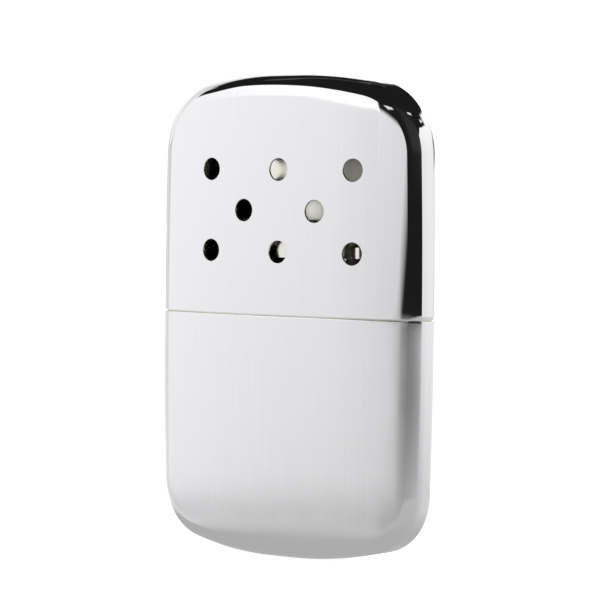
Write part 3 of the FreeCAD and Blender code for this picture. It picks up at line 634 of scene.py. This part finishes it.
# Bright rolled sheet, pressed to shape: clean at the skirt, straw-coloured at the top of the hood.
sheet_steel = hot_steel(
    "pressed stainless sheet", colour="#E2E0DC", straw="#DDD2B8", dark="#B39D80", roughness=0.14,
    line_depth=0.0003 * MM,
)
print("burner metals:", wire_steel.name, "and", sheet_steel.name)

# %% Weave the gauzes
BINDING = 0.55 * MM
GAUZE_PITCH = 0.72 * MM  # coarser than the real 0.5 mm, so that the weave shows


def crimp_wire(index, end, level, crimp):
    """Control points of a wire along X, which goes up and down from one crossing to the next."""
    y = index * GAUZE_PITCH
    crossings = int(end / GAUZE_PITCH)
    line = [(-end, y, level)]
    for crossing in range(-crossings, crossings + 1):
        line.append((crossing * GAUZE_PITCH, y, level + crimp * (-1) ** (index + crossing)))
    return line + [(end, y, level)]


def weave(name, node, half_straight, material):
    """An oval disc of plain-woven wire in the place of a node, with a flat binding round it."""
    low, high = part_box(node)
    radius = high.y
    wire = (high.z - low.z) / 4
    middle = (high.z + low.z) / 2
    reach = radius - BINDING / 2
    lines = []
    rows = int((high.y - BINDING) / GAUZE_PITCH)
    for row in range(-rows, rows + 1):
        end = half_straight + math.sqrt(reach**2 - (row * GAUZE_PITCH) ** 2)
        lines.append(crimp_wire(row, end, middle, 2 * wire))
    columns = int((high.x - BINDING) / GAUZE_PITCH)
    for column in range(-columns, columns + 1):
        beyond = max(abs(column * GAUZE_PITCH) - half_straight, 0)
        end = math.sqrt(max(reach**2 - beyond**2, 0))
        lines.append([(y, x, z) for x, y, z in crimp_wire(column, end, middle, -2 * wire)])
    bm = bmesh.new()
    for edge_radius in (radius, radius - BINDING):
        add_oval(bm, half_straight, edge_radius, low.z, filled=False)
    bmesh.ops.bridge_loops(bm, edges=bm.edges[:])
    raise_block(bm, high.z - low.z, wire / 2, steps=2)
    woven = bend_wires(lines, wire, roundness=1)
    bm.from_mesh(woven)
    bpy.data.meshes.remove(woven)
    piece = new_piece(name, bm, material, sharp=50)
    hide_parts(node)
    return piece


for name, node, straight, body in (
    ("upper_wire_gauze", "upper_gauze", HEAD_STRAIGHT, "burner"),
    ("lower_wire_gauze", "lower_gauze", HEAD_STRAIGHT, "burner"),
    ("wick_wire_gauze", "neck_screen", NECK_STRAIGHT, "tank"),
):
    gauze = weave(name, node, straight, wire_steel)
    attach(gauze, body)
    print(name, box_of(gauze), "faces:", len(gauze.data.polygons))

# %% [markdown]
# ## Soft fillings
#
# The catalyst mat is matted glass fibre, the wick is pressed felt and the tank is stuffed with cotton. None
# of them is sewn or inflated, so there is no cloth to simulate: they are lumps of fibre. Each one starts as
# a plain block, is remeshed into small even faces, and is pressed in unevenly by noise of the size of its
# tufts. Loose fibres are then laid over its surface, because the fibres are what the eye knows it by.

# %% Blocks, tufts and loose fibres
BLOCK_STEPS = 3
SMOOTHINGS = 3
PRESS = (0.5, 0.45)  # the mean share of a tuft's depth that is pressed in, and how far noise swings it
FINE_NOISE = (3.1, 0.4)  # how much finer than the tufts, and how much weaker
FINE_OFFSET = Vector((7, 3, 5))
PRESS_SHARE = 0.35  # of the thickness
FIBRE_POINTS = 7
FIBRE_WANDER = 0.45
FIBRE_LIFT = (0.2, 1)


def oval_block(node, half_straight, rounding):
    """A closed oval block that fills a node's box, with rounded edges."""
    low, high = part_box(node)
    bm = bmesh.new()
    add_oval(bm, half_straight, high.y, low.z, filled=True)
    raise_block(bm, high.z - low.z, rounding, BLOCK_STEPS)
    return bm


def merged_copy(node):
    """A copy of a node's loose triangles, merged into one skin."""
    bm = bmesh.new()
    bm.from_mesh(bpy.data.objects[node].data)
    bmesh.ops.remove_doubles(bm, verts=bm.verts, dist=NO_LENGTH)
    return bm


def tuft(piece, face_size, tuft_size, depth, clear):
    """Remeshes a piece to even faces and presses it in: by clear everywhere, and by noise up to depth.

    Where a piece runs out thin, it is pressed in by no more than a share of its thickness. Nothing swells
    out of the box that the piece had.
    """
    low, high = (Vector(corner) * MM for corner in box_of(piece))
    even = piece.modifiers.new("even faces", "REMESH")
    even.mode = "VOXEL"
    even.voxel_size = face_size
    settle(piece)
    bm = bmesh.new()
    bm.from_mesh(piece.data)
    for _ in range(SMOOTHINGS):
        bmesh.ops.smooth_vert(
            bm, verts=bm.verts, factor=0.5, use_axis_x=True, use_axis_y=True, use_axis_z=True
        )
    bm.normal_update()
    skin = BVHTree.FromBMesh(bm)
    mean, swing = PRESS
    finer, weaker = FINE_NOISE
    pressed = {}
    for vertex in bm.verts:
        broad = noise.noise(vertex.co / tuft_size)
        fine = noise.noise(vertex.co / tuft_size * finer + FINE_OFFSET)
        push = clear + depth * (mean + swing * max(min(broad + weaker * fine, 1), -1))
        just_inside = vertex.co - vertex.normal * face_size / 50
        through = skin.ray_cast(just_inside, -vertex.normal)[3] or 0
        pressed[vertex] = min(push, PRESS_SHARE * through)
    for vertex, push in pressed.items():
        moved = vertex.co - vertex.normal * push
        vertex.co = [
            min(max(place, least + clear), most - clear) for place, least, most in zip(moved, low, high)
        ]
    bm.to_mesh(piece.data)
    bm.free()
    piece.data.shade_smooth()


def lay_fibres(piece, count, length, radius, lift, seed):
    """Lays wavy loose fibres over a piece's surface and joins them to its mesh."""
    chance = random.Random(seed)
    faces = piece.data.polygons
    bm = bmesh.new()
    bm.from_mesh(piece.data)
    surface = BVHTree.FromBMesh(bm)

    def any_way():
        return Vector([chance.uniform(-1, 1) for _ in range(3)])

    lines = []
    for _ in range(count):
        face = faces[chance.randrange(len(faces))]
        place = face.center.copy()
        normal = face.normal.copy()
        heading = any_way()
        line = []
        for _ in range(FIBRE_POINTS):
            line.append(place + normal * lift * chance.uniform(*FIBRE_LIFT))
            heading = heading.normalized() + FIBRE_WANDER * any_way()
            heading -= normal * heading.dot(normal)
            ahead = place + heading.normalized() * length / (FIBRE_POINTS - 1)
            place, normal, _, _ = surface.find_nearest(ahead)
        lines.append(line)
    strands = bend_wires(lines, radius, roundness=0)
    bm.from_mesh(strands)
    bm.to_mesh(piece.data)
    bm.free()
    bpy.data.meshes.remove(strands)
    piece.data.shade_smooth()


# %% Fibres as a material
STREAK_SHARE = 0.45
TONE_SPAN = (0.36, 0.62)


def fibre_mass(name, shade, light, tuft_size, fibre_size, relief_depth, sheen):
    """A matt mass of fibres, finely streaked in its own tone, with painted shade between its tufts and a
    little sheen.
    """
    material, tree = new_material(name)
    place = add_node(tree, "TexCoord").outputs["Object"]
    tufts = add_noise(tree, place, tuft_size, 3).outputs["Fac"]
    bent = add_noise(tree, place, 6 * fibre_size, 1).outputs["Color"]
    swirl = add_node(
        tree, "VectorMath", {"operation": "MULTIPLY_ADD", 1: (tuft_size, tuft_size, tuft_size)},
        {0: bent, 2: place},
    )
    streaks = add_noise(tree, swirl.outputs["Vector"], fibre_size, 2, Distortion=0.4).outputs["Fac"]
    blend = add_node(tree, "Mix", {"Factor": STREAK_SHARE}, {2: tufts, 3: streaks}).outputs[0]
    # The darker end of this ramp is painted shade for the hollows between tufts; the streaks are the fibres'
    # own tone.
    tone = add_ramp(tree, blend, (TONE_SPAN[0], linear(shade)), (TONE_SPAN[1], linear(light)))
    relief = add_bump(tree, streaks, relief_depth, strength=0.8)
    surface = add_node(
        tree, "BsdfPrincipled",
        {"Roughness": 0.95, "IOR": 1.5, "Specular IOR Level": 0.3, "Sheen Weight": sheen,
         "Sheen Roughness": 0.5},
        {"Base Color": tone, "Normal": relief},
    )
    add_node(tree, "OutputMaterial", links={"Surface": surface.outputs["BSDF"]})
    return material


# Glass fibre greyed by its platinum coat: a dull stone grey, with painted shade where the fibres lie deeper.
glass_fibre = fibre_mass(
    "coated glass fibre", shade="#8D8779", light="#CFC9BC", tuft_size=1.3 * MM, fibre_size=0.16 * MM,
    relief_depth=0.05 * MM, sheen=0.1,
)
# Wool pressed into felt: dense, creamy and almost without shine.
wool = fibre_mass(
    "pressed wool felt", shade="#C3B99F", light="#E6DFCB", tuft_size=0.9 * MM, fibre_size=0.12 * MM,
    relief_depth=0.03 * MM, sheen=0.25,
)
# Bleached cotton, stuffed loosely: nearly white, with soft painted shade in its hollows.
cotton = fibre_mass(
    "cotton wadding", shade="#D5D0C3", light="#F4F1E9", tuft_size=5 * MM, fibre_size=0.3 * MM,
    relief_depth=0.12 * MM, sheen=0.35,
)
print("fibres:", ", ".join(material.name for material in (glass_fibre, wool, cotton)))

# %% Mat and wick
mat = new_piece("catalyst_fibre_mat", oval_block("catalyst_mat", HEAD_STRAIGHT, 0.8 * MM), glass_fibre)
tuft(mat, face_size=0.26 * MM, tuft_size=1.3 * MM, depth=0.45 * MM, clear=0.2 * MM)
lay_fibres(mat, count=900, length=5 * MM, radius=0.035 * MM, lift=0.22 * MM, seed=3)
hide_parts("catalyst_mat")
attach(mat, "burner")

wick = new_piece("felt_wick", oval_block("neck_wick", NECK_STRAIGHT, 0.35 * MM), wool)
tuft(wick, face_size=0.24 * MM, tuft_size=0.7 * MM, depth=0.16 * MM, clear=0.07 * MM)
lay_fibres(wick, count=700, length=3 * MM, radius=0.022 * MM, lift=0.08 * MM, seed=5)
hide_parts("neck_wick")
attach(wick, "tank")

# %% Wadding
for seed, layer in enumerate(("front", "middle", "back"), 11):
    node = f"wadding_{layer}"
    wad = new_piece(f"cotton_{layer}", merged_copy(node), cotton)
    tuft(wad, face_size=0.7 * MM, tuft_size=5 * MM, depth=0.75 * MM, clear=0.3 * MM)
    lay_fibres(wad, count=700, length=14 * MM, radius=0.045 * MM, lift=0.24 * MM, seed=seed)
    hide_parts(node)
    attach(wad, "tank")

# %% [markdown]
# ## The plated and pressed metal pieces
#
# The collar, the neck and its spring ring are plated with bright nickel, which is a little yellower than
# chrome. The burner's skirt, floor and hood are pressed from stainless steel. Their construction shapes are
# right as they are, so they keep them and only get their metals, by way of the record's finish slots.

# %% Metals for the pieces that keep their construction shapes
nickel = plated_sheet(
    "bright nickel plate", "#DAD5CA", roughness=0.27, smudge=0.08, hairline_depth=0.0006 * MM
)
METALS = {"plated_collar": nickel, "burner_steel": sheet_steel}
for part in frame["record"]["subparts"]:
    metal = METALS.get(part["material_slot"])
    if metal:
        for held in bpy.data.objects[part["node"]].material_slots:
            held.material = metal
        print(part["node"], "is", metal.name)

# %% [markdown]
# ## The camera
#
# A long lens, a little more than half a metre away and almost level, looks at the right front corner. From so
# far, the two shells' upright lines stay nearly parallel.

# %% Camera
IMAGE_SIZE = 600  # pixels
AZIMUTH = math.radians(37.501)
ELEVATION = math.radians(2.341)
ROLL = math.radians(0.584)
DISTANCE = 642.386 * MM
FOCAL_PIXELS = 3127.369
SENSOR = 36.0  # millimetres
AIM = Vector((0.933 * MM, 0, CROWN / 2 + 3.150 * MM))


def direction(azimuth, elevation):
    """Unit vector towards an azimuth (0 in front, a quarter turn to the right) and an elevation."""
    level = math.cos(elevation)
    return Vector((math.sin(azimuth) * level, -math.cos(azimuth) * level, math.sin(elevation)))


lens = bpy.data.cameras.new("camera")
lens.sensor_width = SENSOR
lens.lens = FOCAL_PIXELS * SENSOR / IMAGE_SIZE
lens.clip_start = 10 * MM
lens.clip_end = 50
camera = bpy.data.objects.new("camera", lens)
bpy.context.scene.collection.objects.link(camera)
bpy.context.scene.camera = camera
back = direction(AZIMUTH, ELEVATION)
turned = back.to_track_quat("Z", "Y").to_matrix().to_4x4() @ Matrix.Rotation(ROLL, 4, "Z")
camera.matrix_world = Matrix.Translation(AIM + back * DISTANCE) @ turned
print("camera", [round(1000 * c, 1) for c in camera.location], "lens", round(lens.lens, 2))

# %% [markdown]
# ## The studio
#
# The world is even white light, and a pale floor carries the object. Its own faint glow keeps the floor as
# white as the world, so that only the soft contact shade under the base is left of it.

# %% White world and pale floor
WORLD_STRENGTH = 1.02
FLOOR_REACH = 3.0  # metres from its middle to an edge
FLOOR_GLOW = 0.72
PAPER_GRAIN = 2.5 * MM
scene = bpy.context.scene
scene.view_settings.view_transform = "Standard"
world = bpy.data.worlds.new("white studio")
scene.world = world
world.use_nodes = True
world.node_tree.nodes["Background"].inputs["Color"].default_value = (1, 1, 1, 1)
world.node_tree.nodes["Background"].inputs["Strength"].default_value = WORLD_STRENGTH

paper, tree = new_material("matt white studio paper")
grain = add_noise(tree, add_node(tree, "TexCoord").outputs["Object"], PAPER_GRAIN, 2).outputs["Fac"]
tone = add_ramp(tree, grain, (0, linear("#E5E5E5")), (1, linear("#E9E9E9")))
matt = add_node(
    tree, "BsdfPrincipled",
    {"Roughness": 0.9, "Emission Color": (1, 1, 1, 1), "Emission Strength": FLOOR_GLOW},
    {"Base Color": tone},
)
add_node(tree, "OutputMaterial", links={"Surface": matt.outputs["BSDF"]})
ground = bmesh.new()
bmesh.ops.create_grid(ground, x_segments=8, y_segments=8, size=FLOOR_REACH)
floor = new_piece("studio_floor", ground, paper)
floor.visible_glossy = False
print("floor:", 2 * FLOOR_REACH, "m wide")

# %% [markdown]
# ## The tent round it
#
# A mirror shows nothing but its surroundings, so polished metal is lit by what stands round it. A
# photographer puts it in a tent of white walls with a black flag in front, and the edges of these are what
# draws the shape of the metal. Here the tent is a set of glowing panels on a sphere. Only reflections see
# them: the camera, light and shadow pass through. Each panel is given by a few upright lines: the azimuth
# (0 in front, 90 to the right), its foot and head in degrees above the horizon, how bright it is there, and,
# where it isn't solid, how much of it is seen.

# %% A material that glows as its vertices say
glowing, tree = new_material("glowing panel")
painted = add_node(tree, "Attribute", {"attribute_name": "glow"})
clear = add_node(tree, "BsdfTransparent")
light = add_node(tree, "Emission", links={"Color": painted.outputs["Color"]})
mixed = add_node(
    tree, "MixShader", links={0: painted.outputs["Alpha"], 1: clear.outputs[0], 2: light.outputs[0]}
)
add_node(tree, "OutputMaterial", links={"Surface": mixed.outputs[0]})


def grey(glow, opacity=1):
    """A vertex colour: how bright it glows, and how much of it is seen."""
    return (glow, glow, glow, opacity)


def only_in_reflections(panel):
    for kind in ("camera", "diffuse", "transmission", "volume_scatter", "shadow"):
        setattr(panel, "visible_" + kind, False)


# %% Hang a panel
TENT_RADIUS = 0.6  # metres
TENT_CENTRE = Vector((0, 0, CROWN / 2))
PANEL_ROWS = 4  # faded foot, foot, head and faded head
PANEL_CUTS = 7
SAME_ANGLE = 0.001  # degrees


def hang_panel(name, lines, foot_fade=0, head_fade=0, nearer=1, lean=0):
    """A panel through lines (azimuth, foot, head, glow at the foot, at the head, opacity).

    Each line leans by some degrees of azimuth for a degree of height. It fades out over foot_fade degrees
    below its foot and head_fade degrees above its head.
    """
    bm = bmesh.new()
    glow = bm.verts.layers.float_color.new("glow")
    bmesh.ops.create_grid(bm, x_segments=len(lines) - 1, y_segments=PANEL_ROWS - 1, size=1)
    order = sorted(bm.verts, key=lambda vertex: (round(vertex.co.x, 4), vertex.co.y))
    for index, vertex in enumerate(order):
        azimuth, foot, head, low, high, opacity = (*lines[index // PANEL_ROWS], 1)[:6]
        elevation, shine, seen = (
            (foot - foot_fade, low, 0 if foot_fade else opacity),
            (foot, low, opacity),
            (head, high, opacity),
            (head + head_fade, high, 0 if head_fade else opacity),
        )[index % PANEL_ROWS]
        vertex.co = (azimuth + lean * (elevation - foot), elevation, 0)
        vertex[glow] = grey(shine, seen)
    bmesh.ops.remove_doubles(bm, verts=bm.verts, dist=SAME_ANGLE)
    bmesh.ops.subdivide_edges(bm, edges=bm.edges, cuts=PANEL_CUTS, use_grid_fill=True)
    for vertex in bm.verts:
        towards = direction(math.radians(vertex.co.x), math.radians(vertex.co.y))
        vertex.co = TENT_CENTRE + towards * TENT_RADIUS * nearer
    panel = new_piece(name, bm, glowing)
    only_in_reflections(panel)
    print(name, "hangs with", len(panel.data.polygons), "faces")


# %% Black tent and grey table
DARK = 0.014
TENT_OVER_PANELS = 1.1
HORIZON = -2.6  # degrees, where the walls meet the table
TABLE_SHADE = -6  # degrees, where the front of the table is darkest
SHELF = -10.5  # degrees, where the table ends towards the object

hall = bmesh.new()
glow = hall.verts.layers.float_color.new("glow")
bmesh.ops.create_icosphere(hall, subdivisions=4, radius=TENT_OVER_PANELS * TENT_RADIUS)
bmesh.ops.translate(hall, verts=hall.verts, vec=TENT_CENTRE)
for vertex in hall.verts:
    vertex[glow] = grey(DARK)
only_in_reflections(new_piece("black_tent", hall, glowing))
hang_panel("black_flag_sheen", (
    (10, 12, 40, 0.03, 0.03, 0),
    (35, 12, 40, 0.04, 0.035),
    (62, 12, 40, 0.04, 0.035),
    (92, 12, 36, 0.07, 0.03),
), foot_fade=9, head_fade=12)
hang_panel("grey_table_front", (
    (-18, TABLE_SHADE, HORIZON, 0.27, 0.28),
    (30, TABLE_SHADE, HORIZON, 0.27, 0.4),
    (70, TABLE_SHADE, HORIZON, 0.38, 0.6),
    (92.5, TABLE_SHADE, HORIZON, 0.58, 0.9),
))
hang_panel("grey_table_top", (
    (-18, SHELF, TABLE_SHADE, 0.5, 0.27),
    (30, SHELF, TABLE_SHADE, 0.5, 0.27),
    (70, SHELF, TABLE_SHADE, 0.5, 0.38),
    (92.5, SHELF, TABLE_SHADE, 0.62, 0.58),
))
hang_panel("grey_table_back", (
    (92.5, SHELF, HORIZON, 0.66, 0.98),
    (130, SHELF, HORIZON, 0.8, 1.05),
    (180, SHELF, HORIZON, 1.0, 1.1),
))
hang_panel("grey_ground", (
    (-180, -90, SHELF, 0.5, 0.66),
    (-16, -90, SHELF, 0.5, 0.62),
    (20, -90, SHELF, 0.5, 0.59),
    (92, -90, SHELF, 0.5, 0.66),
    (150, -90, SHELF, 0.52, 0.85),
    (180, -90, SHELF, 0.52, 0.9),
), nearer=1.02)

# %% White walls, sheet and card
WALL_TOP = 8.8  # all three in degrees above the horizon
CARD_FOOT = 6.3
SHEET_EDGE = -9.5
hang_panel("white_sheet_left", (
    (-180, -72, SHEET_EDGE, 1.33, 1.2),
    (-135, -60, SHEET_EDGE, 1.33, 1.33),
    (-105, -42, SHEET_EDGE, 1.33, 1.25),
    (-86, -34, SHEET_EDGE, 1.1, 0.93),
    (-66, -20, SHEET_EDGE, 0.9, 1.05, 0.7),
    (-18, -12, SHEET_EDGE, 0.74, 0.86, 0.7),
), foot_fade=9, nearer=0.995)
hang_panel("white_wall_left", (
    (-180, SHEET_EDGE, WALL_TOP, 1.1, 1.1),
    (-130, SHEET_EDGE, WALL_TOP, 1.3, 1.3),
    (-108, SHEET_EDGE, WALL_TOP, 1.25, 1.3),
    (-92, SHEET_EDGE, WALL_TOP, 0.97, 0.85),
    (-76, SHEET_EDGE, WALL_TOP, 0.93, 0.72),
    (-67, SHEET_EDGE, WALL_TOP, 0.95, 0.78),
    (-61, SHEET_EDGE, WALL_TOP, 1.07, 1.2),
    (-28, SHEET_EDGE, WALL_TOP, 0.92, 1.1),
    (-19, SHEET_EDGE, 5.2, 0.85, 0.95),
), nearer=0.99)
hang_panel("white_wall_end_below", (
    (-24, SHEET_EDGE, HORIZON, 0.88, 0.93),
    (-16, SHEET_EDGE, HORIZON, 0.82, 0.87),
    (-14.8, SHEET_EDGE, HORIZON, 0.78, 0.82, 0.6),
    (-13.4, SHEET_EDGE, HORIZON, 0.75, 0.8, 0),
), nearer=0.995)
hang_panel("white_wall_end_above", (
    (-30, HORIZON, 5.4, 0.95, 1.05),
    (-22, HORIZON, 5.3, 0.9, 1.0),
    (-15.7, HORIZON, 4.9, 0.84, 0.9),
    (-14.6, HORIZON, 4.4, 0.8, 0.86, 0.55),
    (-13.7, HORIZON, 3.9, 0.75, 0.8, 0),
), head_fade=0.6, nearer=0.995, lean=0.4)
hang_panel("white_card_left", (
    (-180, CARD_FOOT, 28, 1.4, 1.35),
    (-168, CARD_FOOT, 27, 1.4, 1.35),
    (-158, CARD_FOOT, 24, 1.4, 1.4),
    (-148, CARD_FOOT, 22, 1.4, 1.4),
    (-145, CARD_FOOT, 43, 1.4, 1.2),
    (-139, CARD_FOOT, 48, 1.4, 1.15),
    (-130, CARD_FOOT, 49.5, 1.4, 1.1),
    (-104, CARD_FOOT, 44, 1.4, 1.0),
    (-88, CARD_FOOT, 40, 1.1, 0.8),
    (-72, CARD_FOOT, 33, 1.1, 0.9),
    (-64, CARD_FOOT, 16, 1.15, 1.15),
    (-55, 6.2, 16, 1.18, 1.25),
    (-52, 6.1, 25, 1.2, 1.35),
    (-42, 5.95, 26, 1.3, 1.4),
    (-32, 5.75, 19, 1.4, 1.4),
    (-22, 5.35, 9.5, 1.4, 1.3),
    (-18.5, 5.25, 7, 1.4, 1.2),
), head_fade=3, nearer=0.98)
hang_panel("white_card_end", (
    (-156, 20, 42, 1.2, 1.2, 0),
    (-151, 20, 42, 1.2, 1.2, 0.1),
    (-148, 20, 42, 1.3, 1.2, 0.4),
    (-145, 20, 43, 1.3, 1.2, 0.9),
), head_fade=3, nearer=0.985)
hang_panel("white_wall_right", (
    (92.5, HORIZON, 26, 0.98, 1.15),
    (110, HORIZON, 31.5, 1.0, 1.22),
    (118, HORIZON, 33, 1.0, 1.22),
    (136, HORIZON, 30.5, 1.05, 1.22),
    (146, HORIZON, 27.5, 1.08, 1.22),
    (152, HORIZON, 28, 1.06, 1.25),
    (157, HORIZON, 32.5, 1.02, 1.3),
    (161, HORIZON, 34.5, 0.98, 1.3),
    (167, HORIZON, 35, 0.9, 1.3),
    (180, HORIZON, 29.5, 0.78, 1.35),
), head_fade=1)

# %% Small cards and gaps
# Gaps between the walls behind the object draw a thin darker line along its outline.
hang_panel("gap_behind_left", (
    (-148, -7, 9, 0.6, 0.6, 0),
    (-138, -7, 9, 0.6, 0.6),
    (-110, -7, 9, 0.6, 0.6),
    (-100, -7, 9, 0.6, 0.6, 0),
), foot_fade=4, head_fade=8, nearer=0.97)
hang_panel("gap_behind_right", (
    (166, 4, 13, 0.15, 0.15),
    (196, 4, 13, 0.15, 0.15),
), nearer=0.97)
# Three thin strips of white card glint near the lid's shoulders, and a paler seam runs across the ceiling.
hang_panel("glint_card_left", (
    (-16.5, 6.5, 7.5, 0.9, 0.9, 0),
    (-13.5, 9.5, 11, 0.9, 0.9),
    (-8, 15, 17, 0.95, 0.95),
    (2, 24, 26, 0.9, 0.9),
    (5, 26.5, 28.5, 0.9, 0.9, 0),
), foot_fade=0.6, head_fade=0.6, nearer=0.97)
hang_panel("glint_card_right", (
    (74, 50.5, 52, 0.9, 0.9),
    (90, 50.5, 52.5, 0.9, 0.9),
    (105, 49.5, 51.5, 0.9, 0.9),
), foot_fade=1, head_fade=1, nearer=0.97)
hang_panel("glint_card_back", (
    (152, 31, 32, 0.95, 0.95),
    (155, 32, 33.5, 0.95, 0.95),
), foot_fade=0.5, head_fade=0.5, nearer=0.97)
hang_panel("ceiling_seam", (
    (-165, 57, 61, 0.09, 0.09),
    (-105, 72, 76, 0.09, 0.09),
    (-65, 48, 52, 0.09, 0.09),
), foot_fade=2, head_fade=2, nearer=0.97)

# %% The table just under the base
# The floor is left out of reflections, so this soft-edged disc stands for the part of it near the object, and
# its grey is painted shade. Its middle lies a little to the front left, where the case keeps more of the
# light away.
NEAR_TABLE = 40 * MM
NEAR_FADE = 62 * MM
NEAR_MIDDLE = Vector((-8, -4, -0.2)) * MM
NEAR_GLOW = 0.54
FADED_GLOW = 0.64
disc = bmesh.new()
glow = disc.verts.layers.float_color.new("glow")
bmesh.ops.create_circle(disc, cap_ends=True, segments=64, radius=NEAR_TABLE)
for vertex in disc.verts:
    vertex[glow] = grey(NEAR_GLOW)
border = [edge for edge in disc.edges if edge.is_boundary]
for vertex in of_kind(bmesh.ops.extrude_edge_only(disc, edges=border)["geom"], bmesh.types.BMVert):
    vertex.co *= NEAR_FADE / NEAR_TABLE
    vertex[glow] = grey(FADED_GLOW, opacity=0)
bmesh.ops.translate(disc, verts=disc.verts, vec=NEAR_MIDDLE)
only_in_reflections(new_piece("shaded_table_near_the_base", disc, glowing))
print("near table:", round(2000 * NEAR_FADE), "mm across")
